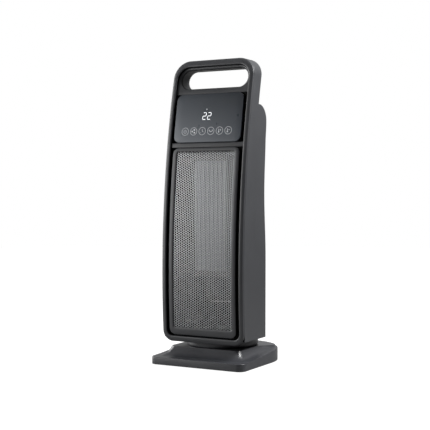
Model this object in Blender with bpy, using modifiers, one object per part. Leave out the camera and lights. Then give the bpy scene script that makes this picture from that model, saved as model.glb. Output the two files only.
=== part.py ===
# Ceramic tower fan heater that swivels on its base.
# X runs across the heater, the front faces -Y, +Z is up, and the swivel axis is the Z axis.

from math import acos, atan2, cos, pi, radians, sin, sqrt, tan

import bmesh
import bpy
from mathutils import Euler, Matrix, Vector

MM = 0.001
GAP = 0.3 * MM  # between pieces that touch
RUNNING = 0.15 * MM  # radial room of a turning fit
FAR = 200 * MM  # past the outside of everything, for cutters

# Tower
TOWER_TOP = 580 * MM
TOWER_HALF_WIDTH = 86.85 * MM
ARC_FOREMOST = 170 * MM  # the whole front is one long arc, furthest forward at this height
ARC_LEAN = 51.4 * MM  # how far back the arc has gone at the top
FRONT_Y = -83.5 * MM
FRAME_BOTTOM = 43 * MM
FRAME_FACE = 8.65 * MM
FRAME_SIDE_DEPTH = 5.6 * MM
FRAME_LIP_DEPTH = 9 * MM
FRAME_BOTTOM_FACE = 10.6 * MM
FRAME_TOP_FACE = 12 * MM
TOP_CORNER = 34 * MM
BOTTOM_CORNER = 21 * MM
SEAM = 0.6 * MM

# Rear housing
HOUSING_BOTTOM = 50 * MM
HOUSING_WALL = 2.5 * MM
SIDE_REAR_Y = 13.8 * MM  # where the flat side meets the bowed back
BACK_BOW = 45 * MM
WAIST_HEIGHT = 325 * MM
WAIST_REACH = 125 * MM
WAIST_DEPTH = 5.8 * MM
SHOULDER_RADIUS = 30 * MM
SHOULDER_FLARE = 2.7 * MM
HANDLE_HEIGHT = 87 * MM
HANDLE_DEPTH = 39.5 * MM
HANDLE_REAR_CORNER = 6 * MM
HANDLE_OPENING_HEIGHT = 36.5 * MM
HANDLE_OPENING_DROP = 18.5 * MM
HANDLE_OPENING_INSET = 14.85 * MM
HANDLE_OPENING_CORNER = 18 * MM

# Front pieces
FASCIA_DEPTH = 9.3 * MM
FASCIA_THICKNESS = 2.5 * MM
PANEL_DROP = 66.3 * MM
PANEL_HEIGHT = 92.4 * MM
PANEL_GROOVE = 6.5 * MM
PANEL_CORNER = 12 * MM
PANEL_THICKNESS = 3 * MM
PANEL_SETBACK = 0.2 * MM
BRIDGE_HEIGHT = 9.8 * MM
GRILLE_BOTTOM = 56.5 * MM
GRILLE_GROOVE = 6.7 * MM
GRILLE_CORNER = 12 * MM
GRILLE_SIDE_FACE = 9.3 * MM
GRILLE_TOP_FACE = 7 * MM
GRILLE_BOTTOM_FACE = 14.5 * MM
MESH_SETBACK = 1.9 * MM
MESH_THICKNESS = 0.8 * MM
MESH_TUCK = 2 * MM  # how far the sheet reaches behind the frame
KEY_INSET = 23.7 * MM  # from the panel's side to the middle of its outer keys
MESH_COLUMNS = 4
MESH_ROWS = 12

# Base
BASE_HALF_WIDTH = 99.5 * MM
BASE_FRONT = 108 * MM
BASE_REAR = 108 * MM
BASE_UNDERSIDE = 1.2 * MM
BASE_STRAIGHT_TO = 12 * MM  # the sides run straight back to here
BASE_FRONT_CORNER = 14 * MM
BOW_POWER = 2.3  # of the superellipse round the back
BASE_WALL = 2.5 * MM
RIM_FRONT = 15.3 * MM
RIM_REAR = 25 * MM
PLATEAU_TOP = 33 * MM
PLATEAU_REAR_DROP = 5 * MM
COVE_SIDE = 24.5 * MM
COVE_FRONT = 35 * MM
COVE_POWER = 3.6  # of the hollow sweep from the rim up to the plateau
SEAT_INSET = 9 * MM
GLAND_HEIGHT = 13.6 * MM
PLATE_THICKNESS = 3 * MM
FOOT_RADIUS = 9 * MM
FOOT_HEIGHT = 3.2 * MM

# Swivel and its drive
NECK_INSET = 6 * MM  # from the plateau's side to the neck
NECK_WALL = 2.5 * MM
NECK_SHOULDER_RADIUS = 34 * MM
HUB_RADIUS = 20 * MM
HUB_BORE = 14 * MM
BUSH_WALL = 2.6 * MM
BUSH_FLANGE = 0.9 * MM
HUB_SCREW_CIRCLE = 17 * MM
HUB_SCREW_RADIUS = 1 * MM
NECK_SCREW_CIRCLE = 27 * MM
GEAR_MODULE = 1.5 * MM
SECTOR_TEETH = 60  # on the full circle
SECTOR_HALF_ANGLE = 48
PINION_TEETH = 14
PRESSURE_ANGLE = radians(25)
BACKLASH = 0.25 * MM
GEAR_THICKNESS = 5 * MM
DRIVE_MOTOR_RADIUS = 21 * MM
DRIVE_MOTOR_HEIGHT = 11 * MM
DRIVE_SHAFT_RADIUS = 2.5 * MM

# Heater and blower
DUCT_BOTTOM = 167 * MM
DUCT_WALL = 2 * MM
DUCT_PLATE = 3 * MM
DUCT_HALF_WIDTH = 37 * MM
DUCT_FRONT = -51 * MM
CORE_HALF_WIDTH = 33 * MM
CORE_FRONT = -50 * MM
CORE_THICKNESS = 17 * MM
ROTOR_Y = 6 * MM
ROTOR_RADIUS = 27 * MM
ROTOR_BLADES = 16
BLOWER_SHAFT_RADIUS = 3 * MM
BLOWER_MOTOR_RADIUS = 24 * MM
BLOWER_MOTOR_HEIGHT = 38 * MM

# Screws
SCREW_RADIUS = 1.5 * MM
SCREW_HEAD_RADIUS = 3.2 * MM
SCREW_HEAD_HEIGHT = 2 * MM
BOSS_RADIUS = 4.6 * MM

# Rear openings
INTAKE_HALF_WIDTH = 56 * MM
INTAKE_BOTTOM = 108 * MM
INTAKE_SLOTS = 12
SWITCH_HEIGHT = 78 * MM
SWITCH_TRAVEL = 8  # degrees either side of level

# Places worked out from the sizes above
arc_rise = TOWER_TOP - ARC_FOREMOST
arc_radius = (arc_rise ** 2 + ARC_LEAN ** 2) / (2 * ARC_LEAN)
frame_inner = TOWER_HALF_WIDTH - FRAME_FACE
frame_opening_bottom = FRAME_BOTTOM + FRAME_BOTTOM_FACE
frame_opening_top = TOWER_TOP - FRAME_TOP_FACE
panel_top = TOWER_TOP - PANEL_DROP
panel_bottom = panel_top - PANEL_HEIGHT
panel_half = frame_inner - PANEL_GROOVE
key_pitch = (panel_half - KEY_INSET) / 2.5
grille_top = panel_bottom - BRIDGE_HEIGHT
grille_half = frame_inner - GRILLE_GROOVE
mesh_half = grille_half - GRILLE_SIDE_FACE
mesh_bottom = GRILLE_BOTTOM + GRILLE_BOTTOM_FACE
mesh_top = grille_top - GRILLE_TOP_FACE
shoulder_top = TOWER_TOP - HANDLE_HEIGHT
opening_top = TOWER_TOP - HANDLE_OPENING_DROP
opening_bottom = opening_top - HANDLE_OPENING_HEIGHT
opening_half = TOWER_HALF_WIDTH - HANDLE_OPENING_INSET
duct_top = grille_top - 14.5 * MM
plateau_half = BASE_HALF_WIDTH - COVE_SIDE
plateau_front = BASE_FRONT - COVE_FRONT
seat_radius = plateau_half - SEAT_INSET
neck_radius = plateau_half - NECK_INSET
neck_top = HOUSING_BOTTOM - GAP
hub_hole = HUB_RADIUS + BUSH_WALL + GAP
plateau_underside = PLATEAU_TOP - BASE_WALL
bush_top = PLATEAU_TOP + GAP + BUSH_FLANGE
sector_top = plateau_underside - GAP
sector_bottom = 18.5 * MM
hub_bottom = sector_bottom + GEAR_THICKNESS + GAP
pinion_y = GEAR_MODULE * (SECTOR_TEETH + PINION_TEETH) / 2
plate_bottom = BASE_UNDERSIDE + 0.4 * MM
plate_top = plate_bottom + PLATE_THICKNESS
floor_bottom = HOUSING_BOTTOM
floor_top = floor_bottom + 4 * MM
fixing_x = (mesh_half + TOWER_HALF_WIDTH - HOUSING_WALL) / 2 - 5 * MM
fixing_meet_y = -10 * MM
low_fixing_z = HOUSING_BOTTOM + 25 * MM
high_fixing_z = grille_top + 3 * MM
ear_x = fixing_x
ear_y = DUCT_FRONT + 6 * MM
board_z = (panel_top + panel_bottom) / 2
drive_ear_x = DRIVE_MOTOR_RADIUS + 4.5 * MM
drive_motor_bottom = plate_top + GAP
drive_motor_top = drive_motor_bottom + DRIVE_MOTOR_HEIGHT
drive_ear_bottom = drive_motor_top - 3 * MM
pinion_bottom = sector_bottom - 0.5 * MM
foot_places = {
    "foot_front_left": (-BASE_HALF_WIDTH + 20 * MM, -BASE_FRONT + 20 * MM),
    "foot_front_right": (BASE_HALF_WIDTH - 20 * MM, -BASE_FRONT + 20 * MM),
    "foot_rear_left": (-BASE_HALF_WIDTH + 33 * MM, BASE_REAR - 42 * MM),
    "foot_rear_right": (BASE_HALF_WIDTH - 33 * MM, BASE_REAR - 42 * MM),
}
base_screw_places = [
    (side * (BASE_HALF_WIDTH - 48 * MM), y)
    for side in (-1, 1)
    for y in (-BASE_FRONT + 14 * MM, BASE_REAR - 22 * MM)
]
hub_screw_places = [(HUB_SCREW_CIRCLE * cos(a), HUB_SCREW_CIRCLE * sin(a)) for a in (0, pi)]
neck_screw_places = [
    (NECK_SCREW_CIRCLE * cos(a), NECK_SCREW_CIRCLE * sin(a)) for a in (pi / 2, pi * 7 / 6, pi * 11 / 6)
]

for old in list(bpy.data.objects):
    bpy.data.objects.remove(old, do_unlink=True)

parts = bpy.data.collections.new("tower_fan_heater")
cutters = bpy.data.collections.new("cutters")
bpy.context.scene.collection.children.link(parts)
bpy.context.scene.collection.children.link(cutters)
cutters.hide_render = True


# Materials

def finish(name, color, roughness, metallic=0.0):
    material = bpy.data.materials.new(name)
    material.use_nodes = True
    shader = material.node_tree.nodes["Principled BSDF"]
    shader.inputs["Base Color"].default_value = (*color, 1)
    shader.inputs["Roughness"].default_value = roughness
    shader.inputs["Metallic"].default_value = metallic
    return material


satin_grey = finish("satin_grey_plastic", (0.075, 0.077, 0.082), 0.42)
black_plastic = finish("black_plastic", (0.012, 0.012, 0.013), 0.45)
gloss_black = finish("gloss_black_plastic", (0.015, 0.015, 0.016), 0.12)
smoked_panel = finish("smoked_panel", (0.05, 0.053, 0.058), 0.08)
steel_sheet = finish("coated_steel_sheet", (0.62, 0.62, 0.6), 0.35, 1.0)
bright_steel = finish("bright_steel", (0.6, 0.6, 0.6), 0.3, 1.0)
aluminium = finish("aluminium_fins", (0.8, 0.8, 0.78), 0.4, 1.0)
rubber = finish("rubber", (0.02, 0.02, 0.02), 0.8)
white_nylon = finish("white_nylon", (0.75, 0.74, 0.7), 0.4)
heat_resin = finish("heat_resin", (0.2, 0.19, 0.17), 0.6)
board_green = finish("circuit_board", (0.02, 0.12, 0.05), 0.5)
filter_net = finish("filter_net", (0.03, 0.03, 0.03), 0.9)


# Tools

def keep(obj, name, material=None, axis=None):
    """Names an object and files it as a part (with a material) or as a cutter (without)."""
    obj.name = name
    obj.data.name = name
    for collection in list(obj.users_collection):
        collection.objects.unlink(obj)
    (parts if material else cutters).objects.link(obj)
    if material:
        obj.data.materials.clear()
        obj.data.materials.append(material)
        obj.data.shade_smooth()
        obj.data.set_sharp_from_angle(angle=radians(35))
    else:
        obj.hide_render = True
        obj.display_type = "WIRE"
    if axis:
        obj.parent = axis
    return obj


def axis_empty(name, place=(0, 0, 0), turn=(0, 0, 0)):
    empty = bpy.data.objects.new(name, None)
    parts.objects.link(empty)
    empty.location = place
    empty.rotation_euler = turn
    bpy.context.view_layer.update()
    return empty


def combine(target, other, operation):
    step = target.modifiers.new(operation.lower() + "_" + other.name, "BOOLEAN")
    step.operation = operation
    step.object = other
    return target


def cut(target, *others):
    for other in others:
        combine(target, other, "DIFFERENCE")
    return target


def join(target, *others):
    for other in others:
        combine(target, other, "UNION")
    return target


def trim(target, other):
    return combine(target, other, "INTERSECT")


def box(name, low, high, material=None, axis=None, round_edge=0.0):
    bpy.ops.mesh.primitive_cube_add(size=1)
    obj = bpy.context.object
    size = Vector(high) - Vector(low)
    middle = (Vector(high) + Vector(low)) / 2
    obj.data.transform(Matrix.Translation(middle) @ Matrix.Diagonal((*size, 1)))
    keep(obj, name, material, axis)
    if round_edge:
        bevel = obj.modifiers.new("round_edge", "BEVEL")
        bevel.width = round_edge
        bevel.segments = 1
    return obj


def cylinder(name, radius, start, end, material=None, axis=None, sides=16):
    start = Vector(start)
    along = Vector(end) - start
    bpy.ops.mesh.primitive_cylinder_add(vertices=sides, radius=radius, depth=along.length)
    obj = bpy.context.object
    turn = along.to_track_quat("Z", "Y").to_matrix().to_4x4()
    obj.data.transform(Matrix.Translation(start + along / 2) @ turn)
    return keep(obj, name, material, axis)


def turned(name, profile, material=None, axis=None, sides=32, turn=(0, 0, 0), place=(0, 0, 0)):
    """A profile of (radius, height) points turned about Z. It is a ring where no point is on the axis."""
    closed = profile[0][0] > 0
    mesh = bpy.data.meshes.new(name)
    edges = [(i, i + 1) for i in range(len(profile) - 1)]
    if closed:
        edges.append((len(profile) - 1, 0))
    mesh.from_pydata([(r, 0, z) for r, z in profile], edges, [])
    obj = bpy.data.objects.new(name, mesh)
    bpy.context.scene.collection.objects.link(obj)
    screw = obj.modifiers.new("turn", "SCREW")
    screw.steps = sides
    screw.render_steps = sides
    screw.use_merge_vertices = True
    screw.merge_threshold = 0.00001
    obj.rotation_euler = turn
    obj.location = place
    return keep(obj, name, material, axis)


def extruded(name, outline, low, high, plane="XY", material=None, axis=None):
    """A flat outline given depth. The plane says which two axes the outline is drawn on."""
    curve = bpy.data.curves.new(name, "CURVE")
    curve.dimensions = "2D"
    curve.fill_mode = "BOTH"
    curve.extrude = (high - low) / 2
    spline = curve.splines.new("POLY")
    spline.points.add(len(outline) - 1)
    for point, (a, b) in zip(spline.points, outline):
        point.co = (a, b, 0, 1)
    spline.use_cyclic_u = True
    drawn = bpy.data.objects.new(name + "_outline", curve)
    bpy.context.scene.collection.objects.link(drawn)
    graph = bpy.context.evaluated_depsgraph_get()
    mesh = bpy.data.meshes.new_from_object(drawn.evaluated_get(graph))
    bpy.data.objects.remove(drawn, do_unlink=True)
    middle = (low + high) / 2
    turns = {"XY": (0, 0, 0), "XZ": (pi / 2, 0, 0), "YZ": (pi / 2, 0, pi / 2)}
    offsets = {"XY": (0, 0, middle), "XZ": (0, middle, 0), "YZ": (middle, 0, 0)}
    mesh.transform(Matrix.Translation(offsets[plane]) @ Euler(turns[plane]).to_matrix().to_4x4())
    solid = bmesh.new()
    solid.from_mesh(mesh)
    bmesh.ops.remove_doubles(solid, verts=solid.verts, dist=0.000002)
    bmesh.ops.recalc_face_normals(solid, faces=solid.faces)
    solid.to_mesh(mesh)
    solid.free()
    obj = bpy.data.objects.new(name, mesh)
    bpy.context.scene.collection.objects.link(obj)
    return keep(obj, name, material, axis)


def rounded_outline(half_width, low, high, corner, top_corner=None, steps=6):
    """An upright rectangle with rounded corners, anticlockwise from its lower right corner."""
    top_corner = corner if top_corner is None else top_corner
    centres = [
        (half_width - corner, low + corner, corner, -90),
        (half_width - top_corner, high - top_corner, top_corner, 0),
        (-half_width + top_corner, high - top_corner, top_corner, 90),
        (-half_width + corner, low + corner, corner, 180),
    ]
    points = []
    for a, b, radius, start in centres:
        for i in range(steps + 1):
            angle = radians(start + 90 * i / steps)
            points.append((a + radius * cos(angle), b + radius * sin(angle)))
    return points


def loft(name, sections, material=None, axis=None):
    """A closed skin through sections that have the same number of points, capped at both ends."""
    mesh = bpy.data.meshes.new(name)
    count = len(sections[0])
    points = [point for section in sections for point in section]
    faces = []
    for level in range(len(sections) - 1):
        for i in range(count):
            j = (i + 1) % count
            low = level * count
            faces.append((low + i, low + j, low + count + j, low + count + i))
    faces.append(tuple(range(count)))
    faces.append(tuple(range((len(sections) - 1) * count, len(sections) * count)))
    mesh.from_pydata(points, [], faces)
    skin = bmesh.new()
    skin.from_mesh(mesh)
    bmesh.ops.recalc_face_normals(skin, faces=skin.faces)
    skin.to_mesh(mesh)
    skin.free()
    obj = bpy.data.objects.new(name, mesh)
    bpy.context.scene.collection.objects.link(obj)
    return keep(obj, name, material, axis)


def screw(name, head_seat, direction, length, axis=None):
    """A pan head screw: the head stands on head_seat and the shank runs along direction."""
    along = Vector(direction).normalized()
    seat = Vector(head_seat) - along * GAP
    shank = cylinder(name, SCREW_RADIUS, seat - along * 0.4 * MM, seat + along * length, bright_steel, axis, 8)
    head = cylinder(name + "_head", SCREW_HEAD_RADIUS, seat - along * SCREW_HEAD_HEIGHT, seat, None, axis, 12)
    return join(shank, head)


def front_arc(z, offset=0.0):
    """Depth of the curved front at height z, moved back by offset."""
    rise = z - ARC_FOREMOST
    return FRONT_Y + arc_radius - sqrt(arc_radius ** 2 - rise ** 2) + offset


def front_slab(name, outline, front, back, material=None, axis=None, steps=9):
    """An outline in X and Z whose front and back follow the tower's curved front."""
    low = min(z for _, z in outline) - 5 * MM
    high = max(z for _, z in outline) + 5 * MM
    heights = [low + (high - low) * i / steps for i in range(steps + 1)]
    side = [(front_arc(z, back), z) for z in heights]
    side += [(front_arc(z, front), z) for z in reversed(heights)]
    reach = TOWER_HALF_WIDTH + 20 * MM
    slab = extruded(name, outline, FRONT_Y - 20 * MM, 20 * MM, "XZ", material, axis)
    band = extruded(name + "_band", side, -reach, reach, "YZ", None, axis)
    return trim(slab, band)


# Axes that pieces turn about

tower_axis = axis_empty("tower_axis")
rotor_axis = axis_empty("rotor_axis", (0, ROTOR_Y, 0))
pinion_axis = axis_empty("pinion_axis", (0, pinion_y, 0))


# Base

def blend(value):
    value = min(1, max(0, value))
    return value * value * (3 - 2 * value)


def base_outline(half_width, front, rear, corner):
    """Straight front and sides, then a full bow round the back. It starts at the middle of the front."""
    side = [(0, -front)]
    for i in range(6):
        angle = radians(-90 + 90 * i / 5)
        side.append((half_width - corner + corner * cos(angle), -front + corner + corner * sin(angle)))
    straight = BASE_STRAIGHT_TO + front - corner
    for i in range(1, 5):
        side.append((half_width, -front + corner + straight * i / 4))
    bow = 9
    for i in range(1, bow + 1):
        angle = pi / 2 * i / bow
        x = half_width * cos(angle) ** (2 / BOW_POWER) if i < bow else 0.0
        side.append((x, BASE_STRAIGHT_TO + (rear - BASE_STRAIGHT_TO) * sin(angle) ** (2 / BOW_POWER)))
    return side + [(-x, y) for x, y in reversed(side[1:-1])]


def rim_height(y):
    return RIM_FRONT + (RIM_REAR - RIM_FRONT) * blend((y + BASE_FRONT) / (BASE_FRONT + 70 * MM))


def toward_centre(point, amount):
    reach = sqrt(point[0] ** 2 + point[1] ** 2)
    return (point[0] * (1 - amount / reach), point[1] * (1 - amount / reach))


def base_body(name, inset=0.0, floor=BASE_UNDERSIDE, material=None):
    """The base's outer form, or its hollow when inset by the wall."""
    outer = base_outline(BASE_HALF_WIDTH, BASE_FRONT, BASE_REAR, BASE_FRONT_CORNER)
    front_top = base_outline(plateau_half, plateau_front, BASE_REAR - 7 * MM, 12 * MM)
    sections = [[], [], []]
    coves = [0.35, 0.55, 0.7, 0.8, 0.89, 0.96, 1.0]
    sections += [[] for _ in coves]
    sections += [[], []]
    for (ox, oy), (px, py) in zip(outer, front_top):
        spread = blend((py - 5 * MM) / (60 * MM))
        px = px + (ox * 0.955 - px) * spread
        py = py + (oy * 0.955 - py) * spread
        ox, oy = toward_centre((ox, oy), inset)
        px, py = toward_centre((px, py), inset)
        rim = rim_height(oy) - inset
        top = PLATEAU_TOP - inset - PLATEAU_REAR_DROP * blend((py + 10 * MM) / BASE_REAR)
        edge = 1.2 * MM
        sections[0].append((ox, oy, floor))
        sections[1].append((ox, oy, rim - edge))
        sections[2].append((*toward_centre((ox, oy), edge), rim))
        sx, sy = toward_centre((ox, oy), edge)
        for level, share in enumerate(coves):
            height = rim + (top - rim) * share ** COVE_POWER
            sections[3 + level].append((sx + (px - sx) * share, sy + (py - sy) * share, height))
        reach = sqrt(px ** 2 + py ** 2)
        sections[-2].append((px * seat_radius / reach, py * seat_radius / reach, PLATEAU_TOP - inset))
        sections[-1].append((px * 0.2, py * 0.2, PLATEAU_TOP - inset))
    return loft(name, sections, material)


def make_base_shell():
    shell = base_body("base_shell", material=gloss_black)
    hollow = base_body("base_hollow", BASE_WALL, BASE_UNDERSIDE - 2 * MM)
    cut(shell, hollow)
    for i, (x, y) in enumerate(base_screw_places):
        boss = cylinder(f"base_boss_{i}", 4 * MM, (x, y, plate_top + GAP), (x, y, PLATEAU_TOP + 2 * MM), sides=16)
        trim(boss, base_body(f"base_boss_limit_{i}", 0.8 * MM))
        join(shell, boss)
    for i, (x, y) in enumerate(base_screw_places):
        bore = cylinder(f"base_bore_{i}", SCREW_RADIUS + GAP, (x, y, 0), (x, y, 14 * MM), sides=8)
        cut(shell, bore)
    hole = cylinder("hub_hole", hub_hole, (0, 0, 20 * MM), (0, 0, PLATEAU_TOP + 5 * MM), sides=40)
    gland_hole = cylinder(
        "gland_hole", 6.3 * MM, (0, BASE_REAR - 9 * MM, GLAND_HEIGHT), (0, BASE_REAR + 4 * MM, GLAND_HEIGHT)
    )
    return cut(shell, hole, gland_hole)


def make_base_plate():
    outer = base_outline(BASE_HALF_WIDTH, BASE_FRONT, BASE_REAR, BASE_FRONT_CORNER)
    outline = [toward_centre(point, BASE_WALL + 2 * GAP) for point in outer]
    plate = extruded("base_plate", outline, plate_bottom, plate_top, "XY", black_plastic)
    for name, (x, y) in foot_places.items():
        pocket_top = FOOT_HEIGHT + GAP
        cut(plate, cylinder(name + "_pocket", FOOT_RADIUS + GAP, (x, y, 0), (x, y, pocket_top)))
    for i, (x, y) in enumerate(base_screw_places):
        head_top = plate_bottom + SCREW_HEAD_HEIGHT
        passage = cylinder(f"plate_passage_{i}", SCREW_HEAD_RADIUS + GAP, (x, y, 0), (x, y, head_top), sides=16)
        through = cylinder(f"plate_through_{i}", SCREW_RADIUS + GAP, (x, y, 0), (x, y, 10 * MM), sides=12)
        cut(plate, passage, through)
    for side in (-1, 1):
        x = side * drive_ear_x
        post = cylinder(f"drive_post_{side + 1}", 3.6 * MM, (x, pinion_y, plate_top - 1 * MM),
                        (x, pinion_y, drive_ear_bottom - GAP), sides=16)
        bore = cylinder(f"drive_post_bore_{side + 1}", SCREW_RADIUS + GAP, (x, pinion_y, plate_top + 0.5 * MM),
                        (x, pinion_y, drive_ear_bottom + 2 * MM), sides=12)
        cut(join(plate, post), bore)
    return plate


def make_feet_and_screws():
    for name, (x, y) in foot_places.items():
        profile = [(0, FOOT_HEIGHT), (FOOT_RADIUS, FOOT_HEIGHT), (FOOT_RADIUS, 0.8 * MM),
                   (FOOT_RADIUS - 0.8 * MM, 0), (0, 0)]
        turned(name, profile, rubber, sides=20, place=(x, y, 0))
    for i, (x, y) in enumerate(base_screw_places):
        screw(f"base_screw_{i + 1}", (x, y, plate_bottom + SCREW_HEAD_HEIGHT), (0, 0, 1), 10 * MM)


def make_cord_gland():
    profile = [(6 * MM, 0.3 * MM), (6 * MM, 3.4 * MM), (8.4 * MM, 3.4 * MM), (8.4 * MM, 5.4 * MM),
               (6 * MM, 5.4 * MM), (6 * MM, 9 * MM), (3.8 * MM, 9 * MM), (3.8 * MM, 0.3 * MM)]
    # Drawn as depth below the rear face, then laid along Y.
    ring = [(r, -depth) for r, depth in profile]
    turned("cord_gland", ring, rubber, sides=24, turn=(-pi / 2, 0, 0), place=(0, BASE_REAR, GLAND_HEIGHT))


# Swivel

def make_swivel_neck():
    r = neck_radius
    profile = [
        (r - 1.5 * MM, neck_top), (r, neck_top - 1.5 * MM), (r, PLATEAU_TOP + 0.9 * MM),
        (r - NECK_WALL, PLATEAU_TOP + 0.9 * MM), (r - NECK_WALL, neck_top - NECK_WALL),
        (NECK_SHOULDER_RADIUS, neck_top - NECK_WALL), (NECK_SHOULDER_RADIUS, bush_top + GAP),
        (HUB_RADIUS, bush_top + GAP), (HUB_RADIUS, hub_bottom), (HUB_BORE, hub_bottom), (HUB_BORE, neck_top),
    ]
    neck = turned("swivel_neck", profile, gloss_black, tower_axis, 40)
    for i, (x, y) in enumerate(neck_screw_places):
        cut(neck, cylinder(f"neck_bore_{i}", SCREW_RADIUS + GAP, (x, y, neck_top - 12 * MM), (x, y, neck_top + MM),
                           sides=8))
    for i, (x, y) in enumerate(hub_screw_places):
        cut(neck, cylinder(f"hub_bore_{i}", HUB_SCREW_RADIUS + GAP, (x, y, hub_bottom - MM),
                           (x, y, hub_bottom + 8 * MM), sides=8))
    return neck


def make_swivel_bush():
    flange = PLATEAU_TOP + GAP
    inner = HUB_RADIUS + RUNNING
    sleeve = HUB_RADIUS + BUSH_WALL
    profile = [
        (NECK_SHOULDER_RADIUS, bush_top), (NECK_SHOULDER_RADIUS, flange), (sleeve, flange),
        (sleeve, plateau_underside + GAP), (inner, plateau_underside + GAP), (inner, bush_top),
    ]
    return turned("swivel_bush", profile, white_nylon, sides=40)


def involute(angle):
    return tan(angle) - angle


def gear_outline(teeth, first, last, root_floor):
    """Teeth numbered first to last of a spur gear. Tooth 0 points along +X."""
    pitch = GEAR_MODULE * teeth / 2
    base = pitch * cos(PRESSURE_ANGLE)
    tip = pitch + GEAR_MODULE * 0.95
    root = pitch - GEAR_MODULE * root_floor
    half_pitch = pi / (2 * teeth) - BACKLASH / (2 * pitch) + involute(PRESSURE_ANGLE)
    points = []
    for tooth in range(first, last + 1):
        middle = 2 * pi * tooth / teeth
        start = max(base, root)
        flank = []
        for i in range(3):
            radius = start + (tip - start) * i / 2
            flank.append((half_pitch - involute(acos(min(1, base / radius))), radius))
        if root < base:
            flank.insert(0, (flank[0][0], root))
        rising = [(middle - half, radius) for half, radius in flank]
        falling = [(middle + half, radius) for half, radius in reversed(flank)]
        points += [(radius * cos(a), radius * sin(a)) for a, radius in rising + falling]
    return points


def make_sector_gear():
    """The toothed sector under the plateau. Its collar keeps the tower from lifting off."""
    last = int(SECTOR_HALF_ANGLE / (360 / SECTOR_TEETH))
    outline = gear_outline(SECTOR_TEETH, -last, last, 1.25)
    turn = Matrix.Rotation(pi / 2, 2)
    outline = [tuple(turn @ Vector(point)) for point in outline]
    collar = HUB_RADIUS + 8 * MM
    ends = [atan2(y, x) for x, y in (outline[-1], outline[0])]
    sweep = 2 * pi - (ends[0] - ends[1])
    for i in range(1, 20):
        angle = ends[0] + sweep * i / 20
        outline.append((collar * cos(angle), collar * sin(angle)))
    gear = extruded("sector_gear", outline, sector_bottom, sector_bottom + GEAR_THICKNESS, "XY",
                    white_nylon, tower_axis)
    rim = [(collar, sector_top), (collar, sector_bottom + 0.5 * MM), (HUB_RADIUS + GAP, sector_bottom + 0.5 * MM),
           (HUB_RADIUS + GAP, sector_top)]
    join(gear, turned("sector_collar", rim, axis=tower_axis, sides=32))
    cut(gear, cylinder("loom_hole", HUB_BORE, (0, 0, 0), (0, 0, 60 * MM), axis=tower_axis, sides=32))
    for i, (x, y) in enumerate(hub_screw_places):
        cut(gear, cylinder(f"gear_bore_{i}", HUB_SCREW_RADIUS + GAP, (x, y, 0), (x, y, 30 * MM),
                           axis=tower_axis, sides=8))
        low = sector_bottom - GAP
        shank = cylinder(f"hub_screw_{i + 1}", HUB_SCREW_RADIUS, (x, y, low - 0.4 * MM), (x, y, hub_bottom + 6 * MM),
                         bright_steel, tower_axis, 12)
        head = cylinder(f"hub_screw_{i + 1}_head", 2.1 * MM, (x, y, low - 1.6 * MM), (x, y, low),
                        axis=tower_axis, sides=16)
        join(shank, head)
    return gear


def make_drive():
    motor = turned("drive_motor", [(0, drive_motor_top), (DRIVE_MOTOR_RADIUS, drive_motor_top),
                                   (DRIVE_MOTOR_RADIUS, drive_motor_bottom), (0, drive_motor_bottom)],
                   bright_steel, place=(0, pinion_y, 0))
    ears = box("drive_ears", (-drive_ear_x - 4 * MM, -4 * MM, drive_ear_bottom),
               (drive_ear_x + 4 * MM, 4 * MM, drive_ear_bottom + 1.5 * MM))
    ears.location = (0, pinion_y, 0)
    join(motor, ears)
    cut(motor, cylinder("drive_bore", DRIVE_SHAFT_RADIUS + RUNNING, (0, pinion_y, drive_motor_bottom + 3 * MM),
                        (0, pinion_y, drive_motor_top + 5 * MM)))
    for i, x in enumerate((-drive_ear_x, drive_ear_x)):
        cut(motor, cylinder(f"drive_ear_hole_{i}", SCREW_RADIUS + GAP, (x, pinion_y, drive_ear_bottom - MM),
                            (x, pinion_y, drive_ear_bottom + 4 * MM), sides=8))
        screw(f"drive_motor_screw_{i + 1}", (x, pinion_y, drive_ear_bottom + 1.5 * MM + 2 * GAP), (0, 0, -1), 7 * MM)
    cylinder("drive_shaft", DRIVE_SHAFT_RADIUS, (0, 0, drive_motor_bottom + 4 * MM),
             (0, 0, pinion_bottom + GEAR_THICKNESS + 1.5 * MM), bright_steel, pinion_axis)
    outline = gear_outline(PINION_TEETH, 0, PINION_TEETH - 1, 1.25)
    turn = Matrix.Rotation(-pi / 2 + pi / PINION_TEETH, 2)
    outline = [tuple(turn @ Vector(point)) for point in outline]
    pinion = extruded("drive_pinion", outline, pinion_bottom, pinion_bottom + GEAR_THICKNESS + MM, "XY",
                      white_nylon, pinion_axis)
    cut(pinion, cylinder("pinion_bore", DRIVE_SHAFT_RADIUS + GAP, (0, 0, 0), (0, 0, 60 * MM), axis=pinion_axis))


# Rear housing

def side_rear(z):
    """Where the flat side ends at height z: a slim waist, then a slight flare below the shoulder."""
    y = SIDE_REAR_Y
    from_waist = abs(z - WAIST_HEIGHT) / WAIST_REACH
    if from_waist < 1:
        y -= WAIST_DEPTH * (1 + cos(pi * from_waist)) / 2
    shoulder_centre = shoulder_top - SHOULDER_RADIUS
    y += SHOULDER_FLARE * blend((z - shoulder_centre + 38 * MM) / (38 * MM))
    if z > shoulder_centre:
        rise = min(SHOULDER_RADIUS, z - shoulder_centre)
        y -= SHOULDER_RADIUS - sqrt(SHOULDER_RADIUS ** 2 - rise ** 2)
    return y


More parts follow.
